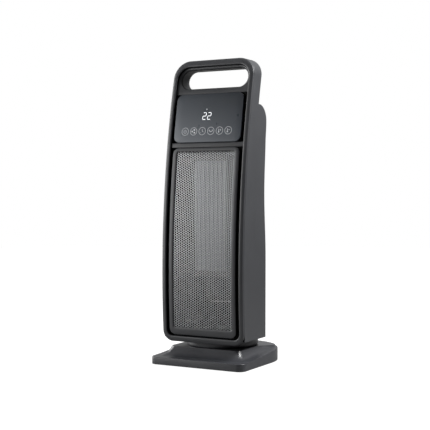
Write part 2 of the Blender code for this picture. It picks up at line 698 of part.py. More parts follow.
def housing_section(z, front, inset, handle):
    """One level of the housing: flat front and sides, and a bowed back (a straight one on the handle)."""
    half = TOWER_HALF_WIDTH - inset
    bow_steps = 10
    points = [(-half, front_arc(z, front))]
    if handle:
        rear = front_arc(z, HANDLE_DEPTH) - inset
        corner = max(HANDLE_REAR_CORNER - inset, 1 * MM)
        for i in range(bow_steps // 2 + 1):
            angle = pi / 2 * i / (bow_steps // 2)
            points.append((-half + corner - corner * cos(angle), rear - corner + corner * sin(angle)))
        points += [(-x, y) for x, y in reversed(points[1:])]
    else:
        edge = side_rear(min(z, shoulder_top)) - inset * 0.55
        bow = BACK_BOW - inset * 0.45
        radius = (half ** 2 + bow ** 2) / (2 * bow)
        for i in range(bow_steps + 2):
            x = -half + 2 * half * i / (bow_steps + 1)
            points.append((x, edge + bow - radius + sqrt(radius ** 2 - x ** 2)))
    points.append((half, front_arc(z, front)))
    return [(x, y, z) for x, y in points]


def housing_form(name, inset=0.0, low=HOUSING_BOTTOM, front=FRAME_SIDE_DEPTH + SEAM, material=None, axis=None):
    """The housing's outer form, or a form inside it by inset."""
    shoulder_centre = shoulder_top - SHOULDER_RADIUS
    levels = [low]
    straight = 9
    for i in range(1, straight):
        levels.append(HOUSING_BOTTOM + (shoulder_centre - HOUSING_BOTTOM) * i / straight)
    levels += [shoulder_centre + SHOULDER_RADIUS * sin(radians(a)) for a in (0, 20, 38, 54, 68, 80)]
    sections = [housing_section(z, front, inset, False) for z in levels]
    sections = [[(x, y, z - inset if z > shoulder_centre else z) for x, y, z in section] for section in sections]
    ledge = shoulder_top - inset
    sections.append([(x, y, ledge) for x, y, _ in housing_section(shoulder_top, front, inset, False)])
    handle_levels = [ledge + 0.1 * MM, ledge + 30 * MM, ledge + 60 * MM, TOWER_TOP + 2 * MM]
    sections += [housing_section(z, front, inset, True) for z in handle_levels]
    body = loft(name, sections, material, axis)
    outline = rounded_outline(TOWER_HALF_WIDTH - inset, min(low, HOUSING_BOTTOM) - 5 * MM, TOWER_TOP - inset,
                              3 * MM, TOP_CORNER - inset)
    return trim(body, extruded(name + "_outline", outline, -FAR, FAR, "XZ", None, axis))


def fixing_points():
    return [(sx * fixing_x, z) for z in (low_fixing_z, high_fixing_z) for sx in (-1, 1)]


def handle_outline(grow=0.0):
    return rounded_outline(opening_half + grow, opening_bottom - grow, opening_top + grow,
                           HANDLE_OPENING_CORNER + grow, steps=8)


def intake_outline(shrink=0.0):
    return rounded_outline(INTAKE_HALF_WIDTH - shrink, INTAKE_BOTTOM + shrink, grille_top - 5 * MM - shrink,
                           8 * MM - shrink, steps=3)


def switch_outline(grow):
    return rounded_outline(10 * MM + grow, SWITCH_HEIGHT - 13 * MM - grow, SWITCH_HEIGHT + 13 * MM + grow,
                           1.5 * MM, steps=2)


def switch_face():
    """The flat the switch bezel sits on, just under the bowed back's middle."""
    return side_rear(SWITCH_HEIGHT) + BACK_BOW - 1.6 * MM


def make_rear_housing():
    housing = housing_form("rear_housing", material=satin_grey, axis=tower_axis)
    cut(housing, housing_form("housing_hollow", HOUSING_WALL, HOUSING_BOTTOM - 5 * MM, -5 * MM, axis=tower_axis))
    collar = extruded("handle_collar", handle_outline(2.2 * MM), -FAR, FAR, "XZ", None, tower_axis)
    fascia_back = FASCIA_DEPTH + FASCIA_THICKNESS + GAP
    trim(collar, housing_form("collar_limit", 0.7 * MM, front=fascia_back, axis=tower_axis))
    join(housing, collar)
    cut(housing, extruded("handle_tunnel", handle_outline(), -FAR, FAR, "XZ", None, tower_axis))
    for i, (x, z) in enumerate(fixing_points()):
        boss = cylinder(f"housing_boss_{i}", 6.2 * MM, (x, fixing_meet_y, z), (x, 70 * MM, z), axis=tower_axis,
                        sides=16)
        trim(boss, housing_form(f"housing_boss_limit_{i}", 0.7 * MM, axis=tower_axis))
        join(housing, boss)
    for i, (x, z) in enumerate(fixing_points()):
        seat = fixing_meet_y + 6 * MM
        passage = cylinder(f"housing_passage_{i}", SCREW_HEAD_RADIUS + 2 * GAP, (x, seat, z), (x, 80 * MM, z),
                           axis=tower_axis, sides=16)
        through = cylinder(f"housing_through_{i}", SCREW_RADIUS + GAP, (x, fixing_meet_y - 5 * MM, z),
                           (x, seat + 2 * MM, z), axis=tower_axis, sides=12)
        cut(housing, passage, through)
    intake = extruded("intake_window", intake_outline(), 20 * MM, FAR, "XZ", None, tower_axis)
    recess = extruded("switch_recess", switch_outline(3 * MM), switch_face() - GAP, FAR, "XZ", None, tower_axis)
    window = extruded("switch_window", switch_outline(-0.4 * MM), 30 * MM, FAR, "XZ", None, tower_axis)
    return cut(housing, intake, recess, window)


def make_intake():
    grille = housing_form("intake_grille", material=satin_grey, axis=tower_axis)
    cut(grille, housing_form("intake_grille_hollow", HOUSING_WALL, HOUSING_BOTTOM - 5 * MM, -5 * MM,
                             axis=tower_axis))
    trim(grille, extruded("intake_grille_edge", intake_outline(0.5 * MM), 20 * MM, FAR, "XZ", None, tower_axis))
    low = INTAKE_BOTTOM + 10 * MM
    pitch = (grille_top - 5 * MM - 10 * MM - low) / INTAKE_SLOTS
    for column in (-1, 1):
        slots = box(f"intake_slots_{column + 1}", (min(2 * MM * column, 50 * MM * column), 20 * MM, low),
                    (max(2 * MM * column, 50 * MM * column), FAR, low + pitch * 0.45), axis=tower_axis)
        row = slots.modifiers.new("rows", "ARRAY")
        row.count = INTAKE_SLOTS
        row.use_relative_offset = False
        row.use_constant_offset = True
        row.constant_offset_displace = (0, 0, pitch)
        cut(grille, slots)
    net = housing_form("dust_filter", HOUSING_WALL + GAP, material=filter_net, axis=tower_axis)
    cut(net, housing_form("dust_filter_hollow", HOUSING_WALL + GAP + 1.6 * MM, HOUSING_BOTTOM - 5 * MM, -5 * MM,
                          axis=tower_axis))
    trim(net, extruded("dust_filter_edge", intake_outline(2.5 * MM), 20 * MM, FAR, "XZ", None, tower_axis))


def make_housing_screws():
    for i, (x, z) in enumerate(fixing_points()):
        screw(f"housing_screw_{i + 1}", (x, fixing_meet_y + 6 * MM + 2 * GAP, z), (0, -1, 0), 18 * MM, tower_axis)


# Front

def make_front_frame():
    outer = rounded_outline(TOWER_HALF_WIDTH, FRAME_BOTTOM, TOWER_TOP, BOTTOM_CORNER, TOP_CORNER)
    frame = front_slab("front_frame", outer, 0, FRAME_SIDE_DEPTH, satin_grey, tower_axis)
    lip_half = TOWER_HALF_WIDTH - HOUSING_WALL - GAP
    lip = rounded_outline(lip_half, frame_opening_bottom - 3 * MM, TOWER_TOP - HOUSING_WALL - GAP,
                          BOTTOM_CORNER - 8 * MM, TOP_CORNER - HOUSING_WALL - GAP)
    join(frame, front_slab("frame_lip", lip, 2 * MM, FRAME_LIP_DEPTH, None, tower_axis))
    inner = rounded_outline(frame_inner, frame_opening_bottom, frame_opening_top,
                            BOTTOM_CORNER - FRAME_FACE, TOP_CORNER - FRAME_FACE)
    return cut(frame, extruded("frame_opening", inner, -FAR, FAR, "XZ", None, tower_axis))


def make_front_fascia():
    """The recessed black wall behind the ring, with its raised bars, windows and screw posts."""
    plate_half = TOWER_HALF_WIDTH - HOUSING_WALL - 2 * GAP
    outline = rounded_outline(plate_half, floor_top + 2 * GAP, TOWER_TOP - HOUSING_WALL - 2 * GAP, 4 * MM,
                              TOP_CORNER - HOUSING_WALL - 2 * GAP)
    back = FASCIA_DEPTH + FASCIA_THICKNESS
    fascia = front_slab("front_fascia", outline, FASCIA_DEPTH, back, black_plastic, tower_axis)
    inner = frame_inner - GAP
    brow = rounded_outline(inner, panel_top + 0.8 * MM, frame_opening_top - GAP, 1 * MM, TOP_CORNER - FRAME_FACE)
    bridge = rounded_outline(inner, grille_top + 0.5 * MM, panel_bottom - 0.5 * MM, 1 * MM, steps=2)
    island = rounded_outline(panel_half - 3 * MM, panel_bottom + 3 * MM, panel_top - 3 * MM, 5 * MM, steps=3)
    join(fascia, front_slab("fascia_brow", brow, 5 * MM, back - 0.5 * MM, None, tower_axis))
    join(fascia, front_slab("fascia_bridge", bridge, 4 * MM, back - 0.5 * MM, None, tower_axis))
    join(fascia, front_slab("fascia_island", island, PANEL_SETBACK + PANEL_THICKNESS + GAP, back - 0.5 * MM,
                            None, tower_axis))
    board_window = rounded_outline(panel_half - 9.5 * MM, panel_bottom + 7 * MM, panel_top - 7 * MM, 2 * MM, steps=2)
    air_window = rounded_outline(mesh_half - 2 * MM, mesh_bottom + 2.5 * MM, mesh_top - 2.5 * MM, 3 * MM, steps=2)
    cut(fascia, extruded("board_window", board_window, -FAR, 0, "XZ", None, tower_axis),
        extruded("air_window", air_window, -FAR, 0, "XZ", None, tower_axis),
        extruded("fascia_handle_opening", handle_outline(), -FAR, FAR, "XZ", None, tower_axis))
    for i, (x, z) in enumerate(fixing_points()):
        add_post(fascia, f"fixing_post_{i}", x, z, fixing_meet_y - GAP)
    for i, (x, z) in enumerate(ear_places()):
        add_post(fascia, f"duct_post_{i}", x, z, ear_y - GAP)
    return fascia


def add_post(fascia, name, x, z, end):
    start = front_arc(z, FASCIA_DEPTH + MM)
    post = cylinder(name, BOSS_RADIUS, (x, start, z), (x, end, z), axis=tower_axis, sides=16)
    floor = front_arc(z, FASCIA_DEPTH + FASCIA_THICKNESS) + 0.3 * MM
    bore = cylinder(name + "_bore", SCREW_RADIUS + GAP, (x, max(floor, end - 16 * MM), z), (x, end + MM, z),
                    axis=tower_axis, sides=12)
    cut(join(fascia, post), bore)


def make_control_panel():
    outline = rounded_outline(panel_half, panel_bottom, panel_top, PANEL_CORNER)
    front_slab("control_panel", outline, PANEL_SETBACK, PANEL_SETBACK + PANEL_THICKNESS, smoked_panel, tower_axis, 6)


def make_outlet_grille():
    outer = rounded_outline(grille_half, GRILLE_BOTTOM, grille_top - 0.5 * MM, GRILLE_CORNER, steps=5)
    frame = front_slab("grille_frame", outer, PANEL_SETBACK, FASCIA_DEPTH - GAP, satin_grey, tower_axis)
    opening = rounded_outline(mesh_half, mesh_bottom, mesh_top, 4 * MM, steps=2)
    tucked = mesh_half + MESH_TUCK + GAP
    pocket = rounded_outline(tucked, mesh_bottom - MESH_TUCK - GAP, mesh_top + MESH_TUCK + GAP, 3 * MM, steps=2)
    cut(frame, extruded("grille_opening", opening, -FAR, 0, "XZ", None, tower_axis))
    cut(frame, front_slab("mesh_pocket", pocket, MESH_SETBACK - GAP, FASCIA_DEPTH + MM, None, tower_axis))
    sheet_outline = rounded_outline(mesh_half + MESH_TUCK, mesh_bottom - MESH_TUCK, mesh_top + MESH_TUCK, 2.5 * MM,
                                    steps=2)
    sheet = front_slab("grille_mesh", sheet_outline, MESH_SETBACK, MESH_SETBACK + MESH_THICKNESS, steel_sheet,
                       tower_axis, 9)
    column_pitch = 2 * mesh_half / MESH_COLUMNS
    row_pitch = (mesh_top - mesh_bottom) / MESH_ROWS
    slots = box("mesh_slots", (-mesh_half + 2 * MM, -FAR, mesh_bottom + 2 * MM),
                (-mesh_half + column_pitch - 2 * MM, 0, mesh_bottom + row_pitch - 2 * MM), axis=tower_axis)
    repeats = [("columns", MESH_COLUMNS, (column_pitch, 0, 0)), ("rows", MESH_ROWS, (0, 0, row_pitch))]
    for label, count, step in repeats:
        repeat = slots.modifiers.new(label, "ARRAY")
        repeat.count = count
        repeat.use_relative_offset = False
        repeat.use_constant_offset = True
        repeat.constant_offset_displace = step
    cut(sheet, slots)


# Tower floor and electronics

def make_tower_floor():
    gap = HOUSING_WALL + GAP
    tray = housing_form("tower_floor", gap, floor_bottom, FASCIA_DEPTH + FASCIA_THICKNESS + GAP, black_plastic,
                        tower_axis)
    trim(tray, box("tower_floor_slice", (-FAR, -FAR, floor_bottom - MM), (FAR, FAR, floor_top), axis=tower_axis))
    cut(tray, cylinder("floor_loom_hole", HUB_BORE, (0, 0, 0), (0, 0, FAR), axis=tower_axis, sides=32))
    for i, (x, y) in enumerate(neck_screw_places):
        cut(tray, cylinder(f"floor_bore_{i}", SCREW_RADIUS + GAP, (x, y, 0), (x, y, FAR), axis=tower_axis, sides=8))
        screw(f"neck_screw_{i + 1}", (x, y, floor_top + 2 * GAP), (0, 0, -1), 13 * MM, tower_axis)
    for i, (x, y) in enumerate(board_posts()):
        post = cylinder(f"board_post_{i}", 3 * MM, (x, y, floor_top - MM), (x, y, floor_top + 8 * MM),
                        axis=tower_axis, sides=12)
        join(tray, post)


def board_posts():
    return [(sx * 46 * MM, y) for sx in (-1, 1) for y in (-36 * MM, 24 * MM)]


def make_power_board():
    low = floor_top + 8 * MM + GAP
    top = low + 1.6 * MM
    seat = top + GAP
    box("power_board", (-52 * MM, -42 * MM, low), (52 * MM, 30 * MM, top), board_green, tower_axis)
    box("relay_1", (-40 * MM, -30 * MM, seat), (-24 * MM, -10 * MM, seat + 15 * MM), black_plastic, tower_axis,
        0.8 * MM)
    box("relay_2", (-20 * MM, -30 * MM, seat), (-4 * MM, -10 * MM, seat + 15 * MM), black_plastic, tower_axis,
        0.8 * MM)
    cylinder("supply_capacitor", 6 * MM, (20 * MM, 0, seat), (20 * MM, 0, seat + 14 * MM), black_plastic, tower_axis)
    box("tilt_switch", (-36 * MM, 4 * MM, seat), (-20 * MM, 18 * MM, seat + 17 * MM), black_plastic, tower_axis,
        MM)


def make_control_board():
    """The touch board, tilted to lie along the curved panel, with its display and the light guide of its keys."""
    tilt = -acos(sqrt(arc_radius ** 2 - (board_z - ARC_FOREMOST) ** 2) / arc_radius)
    middle = PANEL_SETBACK + PANEL_THICKNESS
    board_frame = axis_empty("board_frame", (0, front_arc(board_z, middle), board_z), (tilt, 0, 0))
    board_frame.parent = tower_axis
    board_half = panel_half - 12 * MM
    half_height = PANEL_HEIGHT / 2 - 9 * MM
    front = 4.6 * MM
    box("control_board", (-board_half, front, -half_height), (board_half, front + 1.6 * MM, half_height),
        board_green, board_frame)
    box("display_module", (-20 * MM, 1 * MM, -6 * MM), (14 * MM, front - GAP, 14 * MM), black_plastic, board_frame,
        0.5 * MM)
    key_z = -25.2 * MM
    guide = box("touch_light_guide", (-2.5 * key_pitch, 1.4 * MM, key_z - 1.5 * MM),
                (2.5 * key_pitch, front - GAP, key_z + 1.5 * MM), white_nylon, board_frame)
    for i in range(6):
        x = (i - 2.5) * key_pitch
        join(guide, cylinder(f"key_ring_{i}", 6.5 * MM, (x, MM, key_z), (x, front - GAP, key_z), axis=board_frame,
                             sides=8))


# Heater and blower

def ribbon(name, path, low, high, axis):
    """A thin upright wall along a path in plan."""
    mesh = bpy.data.meshes.new(name)
    count = len(path)
    points = [(x, y, low) for x, y in path] + [(x, y, high) for x, y in path]
    faces = [(i, i + 1, count + i + 1, count + i) for i in range(count - 1)]
    mesh.from_pydata(points, [], faces)
    obj = bpy.data.objects.new(name, mesh)
    bpy.context.scene.collection.objects.link(obj)
    solid = obj.modifiers.new("wall", "SOLIDIFY")
    solid.thickness = DUCT_WALL
    solid.offset = 0
    solid.use_even_offset = True
    return keep(obj, name, None, axis)


def ear_places():
    return [(sx * ear_x, z) for z in (DUCT_BOTTOM + 12 * MM, duct_top - 12 * MM) for sx in (-1, 1)]


def make_blower_duct():
    wall_x = DUCT_HALF_WIDTH + DUCT_WALL / 2
    outline = rounded_outline(wall_x + DUCT_WALL, DUCT_FRONT, ROTOR_Y + ROTOR_RADIUS + 5 * MM, 2 * MM, 22 * MM, 3)
    duct = extruded("blower_duct", outline, DUCT_BOTTOM, DUCT_BOTTOM + DUCT_PLATE, "XY", heat_resin, tower_axis)
    join(duct, extruded("duct_top_plate", outline, duct_top - DUCT_PLATE, duct_top, "XY", None, tower_axis))
    turn_in = ROTOR_Y - 26 * MM
    scroll = [(-wall_x, DUCT_FRONT + MM), (-wall_x, turn_in)]
    for i in range(1, 8):
        share = i / 7
        angle = radians(215 - 100 * share)
        reach = 45 * MM - (45 * MM - ROTOR_RADIUS - 4 * MM) * share
        scroll.append((reach * cos(angle), ROTOR_Y + reach * sin(angle)))
    tongue = [(wall_x, DUCT_FRONT + MM), (wall_x, turn_in)]
    for angle in (-38, -22, -6):
        reach = ROTOR_RADIUS + 4.5 * MM
        tongue.append((reach * cos(radians(angle)), ROTOR_Y + reach * sin(radians(angle))))
    low = DUCT_BOTTOM + MM
    high = duct_top - MM
    join(duct, ribbon("duct_scroll", scroll, low, high, tower_axis), ribbon("duct_tongue", tongue, low, high,
                                                                            tower_axis))
    for i, (x, z) in enumerate(ear_places()):
        inner = wall_x if x > 0 else -wall_x
        outer = x + (6 * MM if x > 0 else -6 * MM)
        join(duct, box(f"duct_ear_{i}", (min(inner, outer), ear_y, z - 7 * MM),
                       (max(inner, outer), ear_y + 3 * MM, z + 7 * MM), axis=tower_axis))
        cut(duct, cylinder(f"duct_ear_hole_{i}", SCREW_RADIUS + GAP, (x, ear_y - MM, z), (x, ear_y + 5 * MM, z),
                           axis=tower_axis, sides=8))
        if z > (DUCT_BOTTOM + duct_top) / 2:
            side = "right" if x > 0 else "left"
            screw(f"duct_screw_{side}", (x, ear_y + 3 * MM + 2 * GAP, z), (0, -1, 0), 8 * MM, tower_axis)
    cut(duct, cylinder("duct_motor_hole", 7 * MM, (0, ROTOR_Y, DUCT_BOTTOM - MM),
                       (0, ROTOR_Y, DUCT_BOTTOM + 5 * MM), axis=tower_axis))
    cut(duct, cylinder("duct_bearing_hole", 7 * MM, (0, ROTOR_Y, duct_top - 5 * MM), (0, ROTOR_Y, duct_top + MM),
                       axis=tower_axis))
    for i, (x, y) in enumerate(motor_screw_places()):
        cut(duct, cylinder(f"duct_motor_screw_hole_{i}", SCREW_RADIUS + GAP, (x, y, DUCT_BOTTOM - MM),
                           (x, y, DUCT_BOTTOM + 5 * MM), axis=tower_axis, sides=8))


def motor_screw_places():
    return [(-16 * MM, ROTOR_Y), (16 * MM, ROTOR_Y)]


def make_heater():
    low = DUCT_BOTTOM + DUCT_PLATE + GAP
    high = duct_top - DUCT_PLATE - GAP
    core_low = low + 2 * MM + GAP
    core_high = high - 2 * MM - GAP
    rear = CORE_FRONT + CORE_THICKNESS
    core = box("heater_core", (-CORE_HALF_WIDTH, CORE_FRONT, core_low), (CORE_HALF_WIDTH, rear, core_high),
               aluminium, tower_axis)
    banks = 4
    bank_pitch = (2 * CORE_HALF_WIDTH - 2 * MM) / banks
    rows = 9
    row_pitch = (core_high - core_low - 12 * MM) / rows
    first_x = -CORE_HALF_WIDTH + 2 * MM
    windows = box("core_windows", (first_x, CORE_FRONT - 5 * MM, core_low + 7 * MM),
                  (first_x + bank_pitch - 2 * MM, rear + 5 * MM, core_low + 5 * MM + row_pitch), axis=tower_axis)
    for label, count, step in (("banks", banks, (bank_pitch, 0, 0)), ("rows", rows, (0, 0, row_pitch))):
        repeat = windows.modifiers.new(label, "ARRAY")
        repeat.count = count
        repeat.use_relative_offset = False
        repeat.use_constant_offset = True
        repeat.constant_offset_displace = step
    cut(core, windows)
    brackets = [("heater_bracket_bottom", low, low + 5 * MM), ("heater_bracket_top", high - 5 * MM, high)]
    for name, bottom, top in brackets:
        bracket = box(name, (-DUCT_HALF_WIDTH + GAP, CORE_FRONT - 2.3 * MM + 1.6 * MM, bottom),
                      (DUCT_HALF_WIDTH - GAP, rear + 2.3 * MM, top), heat_resin, tower_axis)
        pocket = box(name + "_pocket", (-CORE_HALF_WIDTH - GAP, CORE_FRONT - 5 * MM, core_low - GAP),
                     (CORE_HALF_WIDTH + GAP, rear + GAP, core_high + GAP), axis=tower_axis)
        cut(bracket, pocket)
    seat = duct_top + GAP
    cylinder("thermal_cutout", 8 * MM, (20 * MM, -34 * MM, seat), (20 * MM, -34 * MM, seat + 6 * MM), black_plastic,
             tower_axis)


def make_blower():
    motor_top = DUCT_BOTTOM - GAP
    motor_low = motor_top - BLOWER_MOTOR_HEIGHT
    bore = BLOWER_SHAFT_RADIUS + RUNNING
    r = BLOWER_MOTOR_RADIUS
    profile = [(r - 2 * MM, motor_top), (r, motor_top - 2 * MM), (r, motor_low + 2 * MM), (r - 2 * MM, motor_low),
               (bore, motor_low), (bore, motor_top)]
    motor = turned("blower_motor", profile, bright_steel, tower_axis, 32, place=(0, ROTOR_Y, 0))
    for i, (x, y) in enumerate(motor_screw_places()):
        cut(motor, cylinder(f"motor_bore_{i}", SCREW_RADIUS + GAP, (x, y, motor_top - 8 * MM),
                            (x, y, motor_top + MM), axis=tower_axis, sides=8))
        screw(f"blower_motor_screw_{i + 1}", (x, y, DUCT_BOTTOM + DUCT_PLATE + 2 * GAP), (0, 0, -1), 9 * MM,
              tower_axis)
    bearing = [(6.7 * MM, duct_top + 2 * MM), (6.7 * MM, duct_top - DUCT_PLATE), (bore, duct_top - DUCT_PLATE),
               (bore, duct_top + 2 * MM)]
    turned("upper_bearing", bearing, rubber, tower_axis, 24, place=(0, ROTOR_Y, 0))
    cylinder("impeller_shaft", BLOWER_SHAFT_RADIUS, (0, 0, motor_low + 4 * MM), (0, 0, duct_top + 4 * MM),
             bright_steel, rotor_axis)
    make_impeller()


def make_impeller():
    """Cross-flow rotor: discs joined by curved blades."""
    low = DUCT_BOTTOM + DUCT_PLATE + 5 * MM
    high = duct_top - DUCT_PLATE - 5 * MM
    hub = BLOWER_SHAFT_RADIUS + GAP

    def disc(name, bottom, inner, material=None):
        top = bottom + 1.6 * MM
        ring = [(ROTOR_RADIUS, top), (ROTOR_RADIUS, bottom), (inner, bottom), (inner, top)]
        return turned(name, ring, material, rotor_axis, 24)

    impeller = disc("impeller", low, hub, black_plastic)
    join(impeller, disc("impeller_middle_disc", (low + high) / 2, ROTOR_RADIUS - 8 * MM))
    join(impeller, disc("impeller_top_disc", high - 1.6 * MM, hub))
    inner = ROTOR_RADIUS - 7 * MM
    outline = []
    for thickness, shares in ((0, (0, 0.5, 1)), (0.9 * MM, (1, 0.5, 0))):
        for share in shares:
            reach = inner + 6.4 * MM * share
            turn = 0.16 * share ** 2 + thickness / reach
            outline.append((reach * cos(turn), reach * sin(turn)))
    blades = extruded("impeller_blades", outline, low + 0.8 * MM, high - 0.8 * MM, "XY", None, rotor_axis)
    step = axis_empty("blade_step", turn=(0, 0, 2 * pi / ROTOR_BLADES))
    step.parent = rotor_axis
    around = blades.modifiers.new("around", "ARRAY")
    around.count = ROTOR_BLADES
    around.use_relative_offset = False
    around.use_object_offset = True
    around.offset_object = step
    join(impeller, blades)
    return impeller


# Main switch

def make_main_switch():
    face = switch_face()
    bezel = extruded("switch_bezel", switch_outline(2.5 * MM), face, face + 1.5 * MM, "XZ", black_plastic,
                     tower_axis)
    join(bezel, extruded("switch_body", switch_outline(-0.8 * MM), face - 14 * MM, face + MM, "XZ",
                         axis=tower_axis))
    well = extruded("switch_well", rounded_outline(7.3 * MM, SWITCH_HEIGHT - 11 * MM, SWITCH_HEIGHT + 11 * MM, MM,
                                                   steps=2), face - 11 * MM, face + 5 * MM, "XZ", None, tower_axis)
    cut(bezel, well)
    pivot_depth = 4 * MM
    rocker_axis = axis_empty("rocker_axis", (0, face - pivot_depth, SWITCH_HEIGHT))
    rocker_axis.parent = tower_axis
    half = 9.6 * MM
    proud = pivot_depth + 1.5 * MM
    lean = tan(radians(SWITCH_TRAVEL))
    tip = proud - half * lean
    side = [(-4 * MM, -3 * MM), (tip, -half), (proud, 0), (tip, half), (-4 * MM, 3 * MM)]
    tilt = Matrix.Rotation(radians(SWITCH_TRAVEL), 2)
    side = [tuple(tilt @ Vector(point)) for point in side]
    extruded("power_rocker", side, -6.8 * MM, 6.8 * MM, "YZ", rubber, rocker_axis)


make_base_shell()
make_base_plate()
make_feet_and_screws()
make_cord_gland()
make_swivel_neck()
make_swivel_bush()
make_sector_gear()
make_drive()
make_rear_housing()
make_intake()
make_housing_screws()
make_front_frame()
make_front_fascia()
make_control_panel()
make_outlet_grille()
make_tower_floor()
make_power_board()
make_control_board()
make_blower_duct()
make_heater()
make_blower()
make_main_switch()
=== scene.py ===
# Ceramic tower fan heater on a swivel base: the finished look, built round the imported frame.
from math import asin, cos, pi, radians, sin, sqrt

import bmesh
import bpy
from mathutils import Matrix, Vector


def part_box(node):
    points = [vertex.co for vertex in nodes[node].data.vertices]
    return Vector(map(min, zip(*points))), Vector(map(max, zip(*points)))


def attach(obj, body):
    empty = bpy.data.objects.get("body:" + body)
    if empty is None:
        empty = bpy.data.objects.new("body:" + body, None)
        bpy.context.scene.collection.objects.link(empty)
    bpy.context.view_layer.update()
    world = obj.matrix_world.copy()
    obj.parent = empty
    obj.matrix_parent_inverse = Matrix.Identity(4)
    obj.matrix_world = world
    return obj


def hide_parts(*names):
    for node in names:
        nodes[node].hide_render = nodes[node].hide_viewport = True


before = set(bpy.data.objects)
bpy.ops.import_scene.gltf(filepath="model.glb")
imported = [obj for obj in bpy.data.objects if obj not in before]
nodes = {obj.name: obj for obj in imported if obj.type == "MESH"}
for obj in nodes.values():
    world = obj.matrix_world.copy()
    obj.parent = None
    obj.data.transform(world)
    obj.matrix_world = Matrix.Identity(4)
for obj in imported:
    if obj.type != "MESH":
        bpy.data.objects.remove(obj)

mm = 0.001
scene = bpy.context.scene
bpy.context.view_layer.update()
print("frame loaded:", len(nodes), "nodes")


# Camera and light

camera = {"place": (0.9418, -1.7244, 0.3295), "down": 1.3613, "turn": 29.0682, "lens": 84.82}

cameraData = bpy.data.cameras.new("product_camera")
cameraData.lens = camera["lens"]
cameraData.sensor_width = 36
cameraObject = bpy.data.objects.new("product_camera", cameraData)
cameraObject.location = camera["place"]
cameraObject.rotation_euler = (radians(90 - camera["down"]), 0, radians(camera["turn"]))
scene.collection.objects.link(cameraObject)
scene.camera = cameraObject


def linear(hexColour):
    channels = [int(hexColour[i:i + 2], 16) / 255 for i in (1, 3, 5)]
    return tuple(c / 12.92 if c <= 0.04045 else ((c + 0.055) / 1.055) ** 2.4 for c in channels) + (1,)


def addNode(tree, kind, settings=None, links=None):
    # settings are node properties or input values, and links are input name: output socket
    node = tree.nodes.new("ShaderNode" + kind)
    for name, value in (settings or {}).items():
        if isinstance(name, str) and hasattr(node, name):
            setattr(node, name, value)
        else:
            node.inputs[name].default_value = value
    for name, socket in (links or {}).items():
        tree.links.new(socket, node.inputs[name])
    return node


studio = {
    "ambient": 0.42,  # how much the white room lights the object
    "dim": 0.14,  # the share left on the side of the room that is darkest
    "brightSide": (-0.72, 0.66, 0.2),  # the room's wall is brightest toward here
    "softboxes": {
        # name: place, what it looks at, size across and up, watts
        "key_left": ((-2.1, -0.1, 0.8), (0, 0, 0.3), (1.8, 1.5), 48),
        "front_left": ((-1.5, -1.75, 0.64), (0, 0, 0.35), (0.8, 1.2), 15),
        "fill_right": ((0.9, 0.25, 1.35), (0, 0, 0.5), (0.6, 0.6), 32),
        "top": ((0.1, -0.2, 1.9), (0, 0, 0.3), (1.2, 1.2), 4),
    },
}


def makeStudio():
    scene.view_settings.view_transform = "Standard"
    room = bpy.data.worlds.new("white_room")
    room.use_nodes = True
    scene.world = room
    tree = room.node_tree
    tree.nodes.clear()
    direction = addNode(tree, "TexCoord").outputs["Generated"]
    facing = addNode(tree, "VectorMath", {"operation": "DOT_PRODUCT", 1: studio["brightSide"]}, {0: direction})
    back = addNode(tree, "MapRange", {1: -0.5, 2: 0.9, 3: studio["dim"], 4: 1.0},
                   {"Value": facing.outputs["Value"]})
    wall = addNode(tree, "Background", {"Strength": studio["ambient"]}, {"Color": back.outputs[0]})
    seen = addNode(tree, "Background", {"Color": linear("#ffffff"), "Strength": 1.0})
    ray = addNode(tree, "LightPath").outputs["Is Camera Ray"]
    both = addNode(tree, "MixShader", {}, {0: ray, 1: wall.outputs[0], 2: seen.outputs[0]})
    addNode(tree, "OutputWorld", {}, {"Surface": both.outputs[0]})
    for name, (place, target, size, watts) in studio["softboxes"].items():
        lamp = bpy.data.lights.new(name, "AREA")
        lamp.shape = "RECTANGLE"
        lamp.size, lamp.size_y = size
        lamp.energy = watts
        box = bpy.data.objects.new(name, lamp)
        box.location = place
        box.rotation_euler = (Vector(place) - Vector(target)).to_track_quat("Z", "Y").to_euler()
        scene.collection.objects.link(box)


makeStudio()
print("camera and softboxes placed")


# Materials

def newMaterial(name, colour, roughness, metallic=0.0, **sockets):
    material = bpy.data.materials.new(name)
    material.use_nodes = True
    tree = material.node_tree
    shader = tree.nodes["Principled BSDF"]
    shader.inputs["Base Color"].default_value = linear(colour)
    shader.inputs["Roughness"].default_value = roughness
    shader.inputs["Metallic"].default_value = metallic
    for socket, value in sockets.items():
        shader.inputs[socket.replace("_", " ")].default_value = value
    return material, tree, shader


def tintedBy(tree, shader, factor, low, high):
    mix = addNode(tree, "Mix", {"data_type": "RGBA"}, {0: factor})
    mix.inputs[6].default_value = linear(low)
    mix.inputs[7].default_value = linear(high)
    tree.links.new(mix.outputs[2], shader.inputs["Base Color"])
    return mix


def glossBy(tree, shader, factor, low, high):
    # the roughness follows a noise, which rarely leaves 0.3 to 0.7
    rough = addNode(tree, "MapRange", {1: 0.3, 2: 0.7, 3: low, 4: high}, {"Value": factor})
    tree.links.new(rough.outputs[0], shader.inputs["Roughness"])


